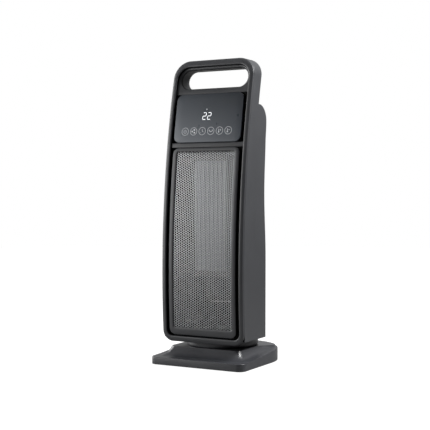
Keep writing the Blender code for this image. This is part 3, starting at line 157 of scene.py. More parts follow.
def moulded(name, look):
    # Injection moulded plastic: faint flow clouding, edges burnished a little lighter, spark-eroded grain.
    # The real grain is about 0.1 mm, too fine to show, so it is drawn at look["grain"].
    material, tree, shader = newMaterial(name, look["colour"], look["roughness"], IOR=look.get("ior", 1.53),
                                         Specular_IOR_Level=look.get("sheen", 0.5))
    place = addNode(tree, "TexCoord").outputs["Object"]
    cloud = addNode(tree, "TexNoise", {"Scale": 1 / look["cloud"], "Detail": 3.0}, {"Vector": place}).outputs[0]
    edge = addNode(tree, "NewGeometry").outputs["Pointiness"]
    edge = addNode(tree, "MapRange", {1: 0.5, 2: 0.62, 3: 0.0, 4: look["edgeWear"]}, {"Value": edge}).outputs[0]
    both = addNode(tree, "Math", {"operation": "MULTIPLY_ADD", 1: 0.55}, {0: cloud, 2: edge}).outputs[0]
    tintedBy(tree, shader, both, look["colour"], look["burnished"])
    glossBy(tree, shader, cloud, look["roughness"] - look["spread"], look["roughness"] + look["spread"])
    grain = addNode(tree, "TexNoise", {"Scale": 1 / look["grain"], "Detail": 2.0}, {"Vector": place}).outputs[0]
    bump = addNode(tree, "Bump", {"Strength": look["bump"], "Distance": 0.04 * mm}, {"Height": grain})
    tree.links.new(bump.outputs[0], shader.inputs["Normal"])
    return material


# soft satin that lights evenly along its curves
satinAbs = moulded("moulded_satin_abs", {
    "colour": "#3d3e41", "burnished": "#4a4b4e", "roughness": 0.38, "spread": 0.05, "cloud": 45 * mm,
    "edgeWear": 0.35, "grain": 0.6 * mm, "bump": 0.35,
})
# black ABS for the black parts, also used as painted shade on the ring's inner wall, the outlet frame's walls and
# the fascia's recess floor
blackAbsAndPaintedShade = moulded("moulded_matt_black_abs_and_painted_shade", {
    "colour": "#050506", "burnished": "#0a0a0b", "roughness": 0.55, "spread": 0.06, "cloud": 30 * mm,
    "edgeWear": 0.2, "grain": 0.6 * mm, "bump": 0.3, "sheen": 0.15,
})
# darker, with longer highlights along the cove
pianoAbs = moulded("moulded_gloss_black_abs", {
    "colour": "#37383c", "burnished": "#47484c", "roughness": 0.31, "spread": 0.04, "cloud": 60 * mm,
    "edgeWear": 0.25, "grain": 1.5 * mm, "bump": 0.06,
})
# milky, slightly waxy
nylon = moulded("moulded_natural_nylon", {
    "colour": "#c9c5b8", "burnished": "#dcd9cf", "roughness": 0.42, "spread": 0.06, "cloud": 12 * mm,
    "edgeWear": 0.2, "grain": 0.8 * mm, "bump": 0.2,
})
# dull brown-black, a little coarse
heatResin = moulded("compression_moulded_phenolic", {
    "colour": "#151413", "burnished": "#201f1d", "roughness": 0.62, "spread": 0.08, "cloud": 9 * mm,
    "edgeWear": 0.3, "grain": 0.7 * mm, "bump": 0.5,
})
# flat black with pale rubbed edges
rubberFoot = moulded("moulded_nitrile_rubber", {
    "colour": "#111112", "burnished": "#232325", "roughness": 0.82, "spread": 0.06, "cloud": 6 * mm,
    "edgeWear": 0.3, "grain": 0.5 * mm, "bump": 0.6, "ior": 1.52,
})


def makeSmokedAcrylic():
    # Smoked cast acrylic: a deep grey with an even, soft gloss, and a painted reflection that makes it paler
    # toward the lower left corner.
    look = {"deep": "#2c3036", "pale": "#585e66", "roughness": 0.3, "low": 0.424, "high": 0.512}
    material, tree, shader = newMaterial("cast_smoked_acrylic", look["deep"], look["roughness"], IOR=1.49)
    place = addNode(tree, "TexCoord").outputs["Object"]
    parts = addNode(tree, "SeparateXYZ", {}, {"Vector": place}).outputs
    # painted reflection: the colour turns paler toward the bottom and toward the left
    rise = addNode(tree, "MapRange", {1: look["high"], 2: look["low"], 3: 0.0, 4: 0.75}, {"Value": parts["Z"]})
    across = addNode(tree, "MapRange", {1: 0.07, 2: -0.07, 3: 0.0, 4: 0.45}, {"Value": parts["X"]})
    paintedReflection = addNode(tree, "Math", {"operation": "ADD"}, {0: rise.outputs[0], 1: across.outputs[0]}).outputs[0]
    tintedBy(tree, shader, paintedReflection, look["deep"], look["pale"])
    haze = addNode(tree, "TexNoise", {"Scale": 1 / (18 * mm), "Detail": 2.0}, {"Vector": place}).outputs[0]
    glossBy(tree, shader, haze, look["roughness"] - 0.03, look["roughness"] + 0.04)
    return material


def makeMetal(name, look):
    # Rolled or drawn metal: fine grain along one axis, slightly uneven polish.
    material, tree, shader = newMaterial(name, look["colour"], look["roughness"], look.get("metallic", 1.0))
    place = addNode(tree, "TexCoord").outputs["Object"]
    stretch = addNode(tree, "Mapping", {"Scale": look["stretch"]}, {"Vector": place}).outputs[0]
    grain = addNode(tree, "TexNoise", {"Scale": 1 / look["grain"], "Detail": 3.0}, {"Vector": stretch}).outputs[0]
    tintedBy(tree, shader, grain, look["colour"], look["bright"])
    glossBy(tree, shader, grain, look["roughness"] - 0.08, look["roughness"] + 0.08)
    bump = addNode(tree, "Bump", {"Strength": 0.2, "Distance": 0.02 * mm}, {"Height": grain})
    tree.links.new(bump.outputs[0], shader.inputs["Normal"])
    return material


# pale, broadly shining webs
punchedSteel = makeMetal("punched_zinc_steel", {
    "colour": "#bfc1c3", "bright": "#dddfe1", "roughness": 0.44, "grain": 3 * mm, "stretch": (1, 1, 0.25),
})
# painted shade: dark steel that keeps the hole walls, the sheet's back and the blower motor black
paintedShadeSteel = makeMetal("painted_shade_dark_steel", {
    "colour": "#1a1a1b", "bright": "#29292b", "roughness": 0.55, "grain": 2 * mm, "stretch": (1, 1, 1),
})
# small bright glints on screws and shafts
turnedSteel = makeMetal("turned_zinc_plated_steel", {
    "colour": "#9c9c9b", "bright": "#c4c4c2", "roughness": 0.32, "grain": 0.8 * mm, "stretch": (1, 1, 1),
})
# greyish, slightly soft shine
foldedAluminium = makeMetal("folded_aluminium_fins", {
    "colour": "#747577", "bright": "#98999b", "roughness": 0.42, "grain": 2 * mm, "stretch": (0.3, 1, 1),
})


def makePrint(name, colour, glow):
    # Screen-printed ink with a lamp behind it: matt, faintly uneven, brighter where it is lit.
    material, tree, shader = newMaterial(name, colour, 0.5, Emission_Strength=glow)
    shader.inputs["Emission Color"].default_value = linear(colour)
    place = addNode(tree, "TexCoord").outputs["Object"]
    speck = addNode(tree, "TexNoise", {"Scale": 1 / (1.2 * mm), "Detail": 2.0}, {"Vector": place}).outputs[0]
    glossBy(tree, shader, speck, 0.42, 0.58)
    return material


def makeCircuitBoard():
    # Solder-masked glass laminate: green lacquer over a faint weave.
    material, tree, shader = newMaterial("solder_masked_laminate", "#0d3a22", 0.35)
    place = addNode(tree, "TexCoord").outputs["Object"]
    weave = addNode(tree, "TexBrick", {"Scale": 1 / (6 * mm), "Mortar Size": 0.08}, {"Vector": place})
    tintedBy(tree, shader, weave.outputs["Fac"], "#0d3a22", "#2a6b40")
    return material


def makeFilterNet():
    # Woven polypropylene net: black threads 1.2 mm apart, drawn as coarse as they need to show.
    look = {"thread": 1.2 * mm, "dark": "#020202", "light": "#1d1e20"}
    material, tree, shader = newMaterial("woven_polypropylene_net", look["dark"], 0.8)
    place = addNode(tree, "TexCoord").outputs["Object"]
    parts = addNode(tree, "SeparateXYZ", {}, {"Vector": place}).outputs
    waves = []
    for axis in ("X", "Z"):
        turn = addNode(tree, "Math", {"operation": "MULTIPLY", 1: 2 * pi / look["thread"]}, {0: parts[axis]})
        waves.append(addNode(tree, "Math", {"operation": "SINE"}, {0: turn.outputs[0]}).outputs[0])
    weave = addNode(tree, "Math", {"operation": "MAXIMUM"}, {0: waves[0], 1: waves[1]}).outputs[0]
    tintedBy(tree, shader, weave, look["dark"], look["light"])
    bump = addNode(tree, "Bump", {"Strength": 0.6, "Distance": 0.2 * mm}, {"Height": weave})
    tree.links.new(bump.outputs[0], shader.inputs["Normal"])
    return material


smokedAcrylic = makeSmokedAcrylic()
iconInk = makePrint("screen_printed_ink", "#c4c7cb", 0.2)
litDigit = makePrint("lit_display_segment", "#f6f8fb", 0.9)
boardLaminate = makeCircuitBoard()
filterNet = makeFilterNet()
print("materials mixed")


# Shape tools

def skin(sections, loop=False, around=True, capStart=False, capEnd=False):
    # quads between sections that have the same number of points
    count = len(sections[0])
    levels = len(sections)
    points = [tuple(point) for section in sections for point in section]
    faces = []
    for level in range(levels if loop else levels - 1):
        above = (level + 1) % levels
        for i in range(count if around else count - 1):
            j = (i + 1) % count
            faces.append((level * count + i, level * count + j, above * count + j, above * count + i))
    if capStart:
        faces.append(tuple(range(count)))
    if capEnd:
        faces.append(tuple(range((levels - 1) * count, levels * count)))
    return points, faces


def gathered(shapes):
    points, faces = [], []
    for shapePoints, shapeFaces in shapes:
        start = len(points)
        points += shapePoints
        faces += [tuple(i + start for i in face) for face in shapeFaces]
    return points, faces


def makeObject(name, shape, *materials):
    mesh = bpy.data.meshes.new(name)
    mesh.from_pydata(shape[0], [], shape[1])
    work = bmesh.new()
    work.from_mesh(mesh)
    bmesh.ops.recalc_face_normals(work, faces=work.faces)
    work.to_mesh(mesh)
    work.free()
    for material in materials:
        mesh.materials.append(material)
    piece = bpy.data.objects.new(name, mesh)
    scene.collection.objects.link(piece)
    return piece


def applied(piece):
    graph = bpy.context.evaluated_depsgraph_get()
    mesh = bpy.data.meshes.new_from_object(piece.evaluated_get(graph))
    piece.modifiers.clear()
    piece.data = mesh
    return piece


def cutAway(piece, *shapes):
    for number, shape in enumerate(shapes):
        cutter = makeObject("cutter", shape)
        step = piece.modifiers.new(f"cut{number}", "BOOLEAN")
        step.operation = "DIFFERENCE"
        step.solver = "EXACT"
        step.object = cutter
        applied(piece)
        bpy.data.objects.remove(cutter, do_unlink=True)
    return piece


def settle(piece, body, slot, *replaced, sharp=32):
    piece.data.shade_smooth()
    piece.data.set_sharp_from_angle(angle=radians(sharp))
    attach(piece, body)
    if replaced:
        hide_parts(*replaced)
    return piece


def roundedPath(half, low, high, corner, topCorner=None, cornerSteps=10, sideSteps=30, endSteps=8):
    # an upright rectangle with rounded corners, from its lower right corner anticlockwise
    topCorner = corner if topCorner is None else topCorner
    centres = [
        (half - corner, low + corner, corner, -90), (half - topCorner, high - topCorner, topCorner, 0),
        (-half + topCorner, high - topCorner, topCorner, 90), (-half + corner, low + corner, corner, 180),
    ]
    path = []
    for number, (cx, cz, radius, start) in enumerate(centres):
        for i in range(cornerSteps + 1):
            angle = radians(start + 90 * i / cornerSteps)
            path.append(Vector((cx + radius * cos(angle), cz + radius * sin(angle))))
        nx, nz, nextRadius, nextStart = centres[(number + 1) % 4]
        ahead = Vector((nx + nextRadius * cos(radians(nextStart)), nz + nextRadius * sin(radians(nextStart))))
        steps = endSteps if number % 2 else sideSteps
        last = path[-1]
        path += [last.lerp(ahead, i / steps) for i in range(1, steps)]
    return path


def smoothStep(value):
    value = min(1, max(0, value))
    return value * value * (3 - 2 * value)


frontCurve = {"radius": 1.66091, "foremostHeight": 0.17, "foremostY": -0.0835}  # one long arc, seen from the side


def frontY(z, setBack=0.0):
    rise = z - frontCurve["foremostHeight"]
    return frontCurve["foremostY"] + frontCurve["radius"] - sqrt(frontCurve["radius"] ** 2 - rise ** 2) + setBack


def onFront(path, setBack):
    return [(x, frontY(z, setBack), z) for x, z in path]


def prism(path, y0, y1):
    return skin([[(x, y0, z) for x, z in path], [(x, y1, z) for x, z in path]], capStart=True, capEnd=True)


# Front ring

frameLow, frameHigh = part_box("front_frame")
panelLow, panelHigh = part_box("control_panel")
grilleLow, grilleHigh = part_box("grille_frame")
towerHalf, towerTop, ringBottom = frameHigh.x, frameHigh.z, frameLow.z

ring = {
    "face": 8.65 * mm, "bottomFace": 10.6 * mm, "topFace": 12 * mm, "bottomCorner": 21 * mm, "topCorner": 34 * mm,
    # crowned section: share of the way in from the outer edge, millimetres behind the front curve
    "section": [(0.045, 5.6), (0.0, 5.15), (0.0, 2.3), (0.018, 1.7), (0.07, 1.25), (0.16, 0.88), (0.29, 0.54),
                (0.45, 0.25), (0.61, 0.07), (0.75, 0.0), (0.86, 0.12), (0.93, 0.42), (0.98, 1.0), (1.0, 2.0),
                (1.0, 9.0), (0.36, 9.0), (0.36, 5.6)],
    "paintedShadeFrom": 13,  # the section's step where the dark inner wall starts
}


def makeRing():
    outer = roundedPath(towerHalf, ringBottom, towerTop, ring["bottomCorner"], ring["topCorner"], 16, 60, 10)
    inner = roundedPath(towerHalf - ring["face"], ringBottom + ring["bottomFace"], towerTop - ring["topFace"],
                        ring["bottomCorner"] - ring["face"], ring["topCorner"] - ring["face"], 16, 60, 10)
    sections = []
    for share, depth in ring["section"]:
        path = [a.lerp(b, share) for a, b in zip(outer, inner)]
        sections.append(onFront(path, depth * mm))
    shape = skin(sections, loop=True)
    piece = makeObject("front_ring", shape, satinAbs, blackAbsAndPaintedShade)
    # painted shade: the faces from that step on, the ring's inner wall, get the black material
    first = ring["paintedShadeFrom"] * len(outer)
    for face in piece.data.polygons:
        face.material_index = int(face.index >= first)
    return settle(piece, "tower", "satin_grey", "front_frame")


makeRing()


# Rear housing with its handle

housing = {
    "bottom": 50 * mm, "seam": 6.2 * mm, "wall": 2.5 * mm, "sideEnd": 13.8 * mm, "bow": 45 * mm,
    "cornerBlend": 3 * mm, "edgeEase": 0.45 * mm, "waistHeight": 325 * mm, "waistReach": 125 * mm,
    "waistDepth": 5.8 * mm, "shoulder": 30 * mm, "flare": 2.7 * mm, "flareRise": 38 * mm,
    "handleHeight": 87 * mm, "handleDepth": 39.5 * mm, "handleRound": 6 * mm, "openingHalf": 72 * mm,
    "openingLow": 525 * mm, "openingHigh": 561.5 * mm, "openingCorner": 18 * mm, "openingRound": 3 * mm,
    "fasciaBack": 12.1 * mm, "screwPassage": 3.8 * mm, "screwHole": 1.7 * mm, "boss": 6.2 * mm,
    "bossFront": -9.5 * mm, "bossSeat": -4 * mm, "gap": 0.5 * mm, "intakeCorner": 8 * mm,
    "switchCorner": 1.5 * mm, "switchWindow": (9.6 * mm, 12.6 * mm), "switchFlange": 1.8 * mm,
}
behind = 0.12  # well past the back of the housing
ledge = towerTop - housing["handleHeight"]
shoulderCentre = ledge - housing["shoulder"]


def sideEnd(z):
    # where the flat side stops: a slim waist, then a slight flare under the shoulder
    z = min(z, ledge)
    y = housing["sideEnd"]
    fromWaist = abs(z - housing["waistHeight"]) / housing["waistReach"]
    if fromWaist < 1:
        y -= housing["waistDepth"] * (1 + cos(pi * fromWaist)) / 2
    y += housing["flare"] * smoothStep((z - shoulderCentre + housing["flareRise"]) / housing["flareRise"])
    rise = max(0, z - shoulderCentre)
    return y - housing["shoulder"] + sqrt(max(0, housing["shoulder"] ** 2 - rise ** 2))


def backY(x, z, depth=0.0):
    radius = (towerHalf ** 2 + housing["bow"] ** 2) / (2 * housing["bow"])
    return sideEnd(z) + housing["bow"] - radius + sqrt(radius ** 2 - x ** 2) - depth


def housingSection(z, inset=0.0):
    # the right half from front to back, then its mirror
    half = towerHalf - inset
    radius = (towerHalf ** 2 + housing["bow"] ** 2) / (2 * housing["bow"])
    start = frontY(z, housing["seam"])
    blend = min(housing["cornerBlend"], (sideEnd(z) - start) * 0.4)
    end = sideEnd(z) - inset
    right = [(half - housing["edgeEase"], start), (half, start + 0.5 * mm)]
    right += [(half, start + 0.5 * mm + (end - blend - start - 0.5 * mm) * i / 8) for i in range(1, 9)]
    widest = asin(towerHalf / radius) - blend / radius
    landing = (radius * sin(widest), backY(radius * sin(widest), z, inset))
    for i in range(1, 8):
        t = i / 8
        right.append(tuple((1 - t) ** 2 * a + 2 * t * (1 - t) * b + t * t * c
                           for a, b, c in zip((half, end - blend), (half, end), landing)))
    right += [(radius * sin(widest * (1 - i / 20)), backY(radius * sin(widest * (1 - i / 20)), z, inset))
              for i in range(21)]
    left = [(-x, y) for x, y in reversed(right[:-1])]
    return [(x, y, z) for x, y in right + left]


def makeShell():
    levels = [(housing["bottom"], 0.5 * mm), (housing["bottom"] + 0.6 * mm, 0.0)]
    steps = 46
    levels += [(housing["bottom"] + (shoulderCentre - housing["bottom"]) * i / steps, 0.0)
               for i in range(1, steps + 1)]
    levels += [(shoulderCentre + housing["shoulder"] * sin(radians(a)), 0.0) for a in range(6, 91, 6)]
    sections = [housingSection(z, inset) for z, inset in levels]
    shell = makeObject("rear_housing_shell", skin(sections, around=False, capEnd=True), satinAbs, blackAbsAndPaintedShade)
    thicken = shell.modifiers.new("wall", "SOLIDIFY")
    thicken.material_offset = 1
    thicken.thickness = housing["wall"]
    thicken.offset = -1
    thicken.use_even_offset = True
    thicken.use_rim = True
    return applied(shell)


def openingPath(growth):
    return roundedPath(housing["openingHalf"] + growth, housing["openingLow"] - growth,
                       housing["openingHigh"] + growth, housing["openingCorner"] + growth - 0.05 * mm,
                       None, 14, 20, 16)


def makeHandle():
    # one closed section swept between the outer outline and the opening: inset from the outline, or growth of the
    # opening, and depth behind the front curve
    turn = housing["handleRound"]
    back = housing["handleDepth"]
    eased = housing["seam"] + 0.5 * mm
    outline = [(housing["edgeEase"], housing["seam"]), (0.0, eased)]
    outline += [(0.0, eased + (back - turn - housing["seam"] - 0.5 * mm) * i / 5) for i in (1, 2, 3, 4)]
    outline += [(turn * (1 - cos(radians(a))), back - turn + turn * sin(radians(a))) for a in range(0, 91, 10)]
    small = housing["openingRound"]
    opening = [(small * (1 - sin(radians(a))), back - small + small * cos(radians(a))) for a in range(0, 91, 15)]
    opening += [(0.0, back - small - (back - small - housing["fasciaBack"]) * i / 5) for i in range(1, 6)]
    corner = ring["topCorner"]
    sections = []
    for inset, depth in outline:
        path = roundedPath(towerHalf - inset, ledge, towerTop - inset, 0.2 * mm, corner - inset, 14, 20, 16)
        sections.append(onFront(path, depth))
    for growth, depth in opening:
        sections.append(onFront(openingPath(growth), depth))
    for depth in (housing["fasciaBack"], housing["seam"]):
        path = roundedPath(towerHalf - housing["wall"], ledge, towerTop - housing["wall"], 0.2 * mm,
                           corner - housing["wall"], 14, 20, 16)
        sections.append(onFront(path, depth))
    return skin(sections, loop=True)


screwPlaces = [(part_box(f"housing_screw_{i}")[0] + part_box(f"housing_screw_{i}")[1]) / 2 for i in (1, 2, 3, 4)]


def circle(cx, cz, radius, steps=24):
    return [(cx + radius * cos(2 * pi * i / steps), cz + radius * sin(2 * pi * i / steps)) for i in range(steps)]


def makeScrewTube(x, z):
    # the moulded boss round a deep screw, its rear end following the bowed back inside the wall
    sections = []
    for size, end in (("boss", "rear"), ("screwPassage", "rear"), ("screwPassage", "seat"), ("screwHole", "seat"),
                      ("screwHole", "front"), ("boss", "front")):
        section = []
        for px, pz in circle(x, z, housing[size]):
            ends = {"rear": min(backY(min(abs(px), towerHalf - 0.5 * mm), pz, 1.2 * mm), backY(abs(x), z)),
                    "seat": housing["bossSeat"], "front": housing["bossFront"]}
            section.append((px, ends[end], pz))
        sections.append(section)
    return skin(sections, loop=True)


switchLow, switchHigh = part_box("switch_bezel")
switchHeight = (switchLow.z + switchHigh.z) / 2
intakeLow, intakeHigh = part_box("intake_grille")


def makeRearHousing():
    shell = makeShell()
    gap = housing["gap"]
    windowHalf, windowReach = housing["switchWindow"]
    corner = housing["switchCorner"]
    intake = roundedPath(intakeHigh.x + gap, intakeLow.z - gap, intakeHigh.z + gap, housing["intakeCorner"],
                         None, 6, 1, 1)
    recess = roundedPath(switchHigh.x + gap, switchLow.z - gap, switchHigh.z + gap, corner, None, 3, 1, 1)
    window = roundedPath(windowHalf, switchHeight - windowReach, switchHeight + windowReach, corner, None, 3, 1, 1)
    front = roundedPath(towerHalf - housing["wall"], ledge - 8 * mm, ledge + 2 * mm, 0.2 * mm, None, 1, 1, 1)
    cutAway(shell, prism(front, -behind, frontY(ledge, housing["fasciaBack"])))
    cutAway(shell, prism(intake, 20 * mm, behind), prism(recess, switchHigh.y - housing["switchFlange"], behind),
            prism(window, 30 * mm, behind),
            *(prism(circle(p.x, p.z, housing["screwPassage"]), 5 * mm, behind) for p in screwPlaces))
    work = bmesh.new()
    work.from_mesh(shell.data)
    extra = gathered([makeHandle()] + [makeScrewTube(p.x, p.z) for p in screwPlaces])
    added = bpy.data.meshes.new("handle_and_bosses")
    added.from_pydata(extra[0], [], extra[1])
    work.from_mesh(added)
    bmesh.ops.recalc_face_normals(work, faces=work.faces)
    work.to_mesh(shell.data)
    work.free()
    return settle(shell, "tower", "satin_grey", "rear_housing", sharp=30)


makeRearHousing()
print("ring and housing made")


# Rear intake grille

intakeLook = {
    "corner": 7.5 * mm, "border": 8 * mm, "slatPitch": 5.8 * mm, "slat": 2.1 * mm, "lean": 1.1 * mm,
    "ribs": (-32, -16, 0, 16, 32), "rib": 1.8 * mm, "middleRib": 4 * mm,
}


def makeIntake():
    shapes = []
    outer = roundedPath(intakeHigh.x, intakeLow.z, intakeHigh.z, intakeLook["corner"], None, 8, 40, 28)
    inner = roundedPath(intakeHigh.x - intakeLook["border"], intakeLow.z + intakeLook["border"],
                        intakeHigh.z - intakeLook["border"], 3 * mm, None, 8, 40, 28)
    sections = []
    for share, depth in ((0.0, 2.5), (0.0, 0.4), (0.06, 0.05), (0.92, 0.05), (1.0, 0.5), (1.0, 2.5)):
        path = [a.lerp(b, share) for a, b in zip(outer, inner)]
        sections.append([(x, backY(x, z, depth * mm), z) for x, z in path])
    shapes.append(skin(sections, loop=True))
    reach = intakeHigh.x - intakeLook["border"] + 1 * mm
    low, high = intakeLow.z + intakeLook["border"], intakeHigh.z - intakeLook["border"]
    count = int((high - low) / intakeLook["slatPitch"])
    pitch = (high - low) / count
    for row in range(count):
        z = low + pitch * (row + 0.5)
        half, lean = intakeLook["slat"] / 2, intakeLook["lean"] / 2
        edges = [(0.5, -half - lean), (0.15, -lean), (0.5, half - lean), (2.4, half + lean), (2.4, -half + lean)]
        sections = []
        for i in range(25):
            x = -reach + 2 * reach * i / 24
            sections.append([(x, backY(x, z, depth * mm), z + dz) for depth, dz in edges])
        shapes.append(skin(sections, capStart=True, capEnd=True))
    for x in intakeLook["ribs"]:
        half = (intakeLook["rib"] if x else intakeLook["middleRib"]) / 2
        edges = [(-half, 0.6), (-half * 0.6, 0.3), (half * 0.6, 0.3), (half, 0.6), (half, 2.45), (-half, 2.45)]
        sections = []
        for i in range(41):
            z = low - 1 * mm + (high - low + 2 * mm) * i / 40
            sections.append([(x * mm + dx, backY(x * mm + dx, z, depth * mm), z) for dx, depth in edges])
        shapes.append(skin(sections, capStart=True, capEnd=True))
    piece = makeObject("intake_louvres", gathered(shapes), satinAbs)
    return settle(piece, "tower", "satin_grey", "intake_grille")


makeIntake()


# Fascia behind the ring: a black plate as painted shade in the recess, with its grey brow and bridge

fascia = {
    "floor": 9.3 * mm, "thick": 2.5 * mm, "brow": 6.5 * mm, "bridge": 4 * mm, "round": 0.9 * mm, "grip": 4.6 * mm,
    "split": 26 * mm, "bottom": 54.6 * mm, "airHalf": 58 * mm, "airLow": 71 * mm, "airDrop": 10 * mm,
    "clearance": 0.6 * mm, "island": 3.5 * mm,
}
panelHalf, panelBottom, panelTop = panelHigh.x, panelLow.z, panelHigh.z
grilleHalf, grilleBottom, grilleTop = grilleHigh.x, grilleLow.z, grilleHigh.z


def raisedBar(path, inPath, front, back, turn):
    # a bar with a rounded edge: the outline, then the same outline drawn in
    sections = [onFront(path, back), onFront(path, front + turn)]
    for a in (15, 30, 45, 60, 75, 90):
        share = (1 - cos(radians(a)))
        rounded = [p.lerp(q, share) for p, q in zip(path, inPath)]
        sections.append(onFront(rounded, front + turn * (1 - sin(radians(a)))))
    return sections


def makeFasciaFloor():
    # the dark plate, painted shade for the recess floor, as an outline swept in to the handle opening, and a plain
    # one round the air outlet
    half = towerHalf - housing["wall"] - fascia["clearance"]
    low, high = ledge + fascia["split"], towerTop - housing["wall"] - fascia["clearance"]
    corner = ring["topCorner"] - housing["wall"]
    outer = roundedPath(half, low, high, 3 * mm, corner, 14, 20, 16)
    opening = openingPath(0.0)
    air = roundedPath(half, fascia["bottom"], low, 4 * mm, 3 * mm, 8, 60, 8)
    airIn = roundedPath(fascia["airHalf"], fascia["airLow"], grilleTop - fascia["airDrop"], 3 * mm, None, 8, 60, 8)
    floor, back = fascia["floor"], fascia["floor"] + fascia["thick"]
    return [skin([onFront(out, floor), onFront(into, floor), onFront(into, back), onFront(out, back)], loop=True)
            for out, into in ((outer, opening), (air, airIn))]


def makeFascia():
    half = towerHalf - ring["face"] - 0.3 * mm
    low, high = panelTop + 0.8 * mm, towerTop - ring["topFace"] - 0.3 * mm
    corner = ring["topCorner"] - ring["face"]
    turn = fascia["round"]
    outer = roundedPath(half, low, high, 1 * mm, corner, 14, 20, 16)
    outerIn = roundedPath(half - turn, low + turn, high - turn, 0.5 * mm, corner - turn, 14, 20, 16)
    opening = [openingPath(growth) for growth in (0.0, fascia["grip"])]
    floor = fascia["floor"]
    brow = raisedBar(outer, outerIn, fascia["brow"], floor + 0.5 * mm, turn)
    brow += list(reversed(raisedBar(opening[0], opening[1], fascia["brow"], floor + 0.5 * mm, fascia["grip"])))
    low, high = grilleTop + 0.8 * mm, panelBottom - 0.5 * mm
    path = roundedPath(half, low, high, 1 * mm, None, 4, 3, 12)
    pathIn = roundedPath(half - turn, low + turn, high - turn, 0.4 * mm, None, 4, 3, 12)
    bridge = skin(raisedBar(path, pathIn, fascia["bridge"], floor + 0.5 * mm, turn), capStart=True, capEnd=True)
    bars = makeObject("fascia_brow_and_bridge", gathered([skin(brow, loop=True), bridge]), satinAbs)
    settle(bars, "tower", "satin_grey")
    dark = makeFasciaFloor()
    island = roundedPath(panelHalf - 3 * mm, panelBottom + 3 * mm, panelTop - 3 * mm, 5 * mm, None, 8, 8, 6)
    dark.append(skin([onFront(island, fascia["island"]), onFront(island, floor + 1 * mm)],
                     capStart=True, capEnd=True))
    plate = makeObject("fascia_plate", gathered(dark), blackAbsAndPaintedShade)
    return settle(plate, "tower", "black_plastic", "front_fascia")


makeFascia()
print("fascia made")


# Touch panel, its icons and its display

panel = {
    "setBack": 0.2 * mm, "thick": 3 * mm, "corner": 12 * mm, "polish": 0.9 * mm,
    "iconHeight": 442.4 * mm, "iconPitch": 18.6 * mm, "iconShift": -1.4 * mm, "iconRadius": 7.1 * mm,
    "line": 0.75 * mm, "ink": 0.12 * mm, "inkBack": 0.1 * mm, "heatMark": (-4.6 * mm, 484 * mm), "digitLean": 0.09,
    "digitHeight": 14 * mm, "digitWidth": 6.6 * mm, "digitMiddle": 471 * mm, "digitStroke": 1.15 * mm,
    "digitPlaces": (-8.4 * mm, 2.0 * mm),
}


def makePanel():
    def outline(inset):
        return roundedPath(panelHalf - inset, panelBottom + inset, panelTop - inset, panel["corner"] - inset,
                           None, 12, 16, 16)
    back = panel["setBack"] + panel["thick"]
    polish = panel["polish"]
    sections = [onFront(outline(0.0), back)]
    for a in range(0, 91, 15):
        inset = polish * (1 - cos(radians(a)))
        sections.append(onFront(outline(inset), panel["setBack"] + polish * (1 - sin(radians(a)))))
    middle = Vector((0, (panelBottom + panelTop) / 2))
    rim = outline(polish)
    for share in (0.2, 0.45, 0.7, 0.97):
        sections.append(onFront([p.lerp(middle, share) for p in rim], panel["setBack"]))
    piece = makeObject("touch_panel", skin(sections, capStart=True, capEnd=True), smokedAcrylic)
    return settle(piece, "tower", "smoked_panel", "control_panel")


def inkLine(path, width, closed=False):
    # a flat ribbon of ink along a path in X and Z, lying on the panel's face
    path = [Vector(p) for p in path]
    count = len(path)
    sections = []
    for i, p in enumerate(path):
        before = path[(i - 1) % count] if closed or i else p
        after = path[(i + 1) % count] if closed or i < count - 1 else p
        along = (after - before).normalized()
        side = Vector((-along.y, along.x)) * width / 2
        face = panel["setBack"] - panel["ink"]
        back = panel["setBack"] + panel["inkBack"]
        corners = ((p + side, face), (p - side, face), (p - side, back), (p + side, back))
        sections.append([(c.x, frontY(c.y, depth), c.y) for c, depth in corners])
    return skin(sections, loop=closed, capStart=not closed, capEnd=not closed)


def inkPatch(path):
    face, back = panel["setBack"] - panel["ink"], panel["setBack"] + panel["inkBack"]
    return skin([onFront(path, face), onFront(path, back)], capStart=True, capEnd=True)


def arcPath(cx, cz, radius, start, end, steps=14):
    return [(cx + radius * cos(radians(start + (end - start) * i / steps)),
             cz + radius * sin(radians(start + (end - start) * i / steps))) for i in range(steps + 1)]


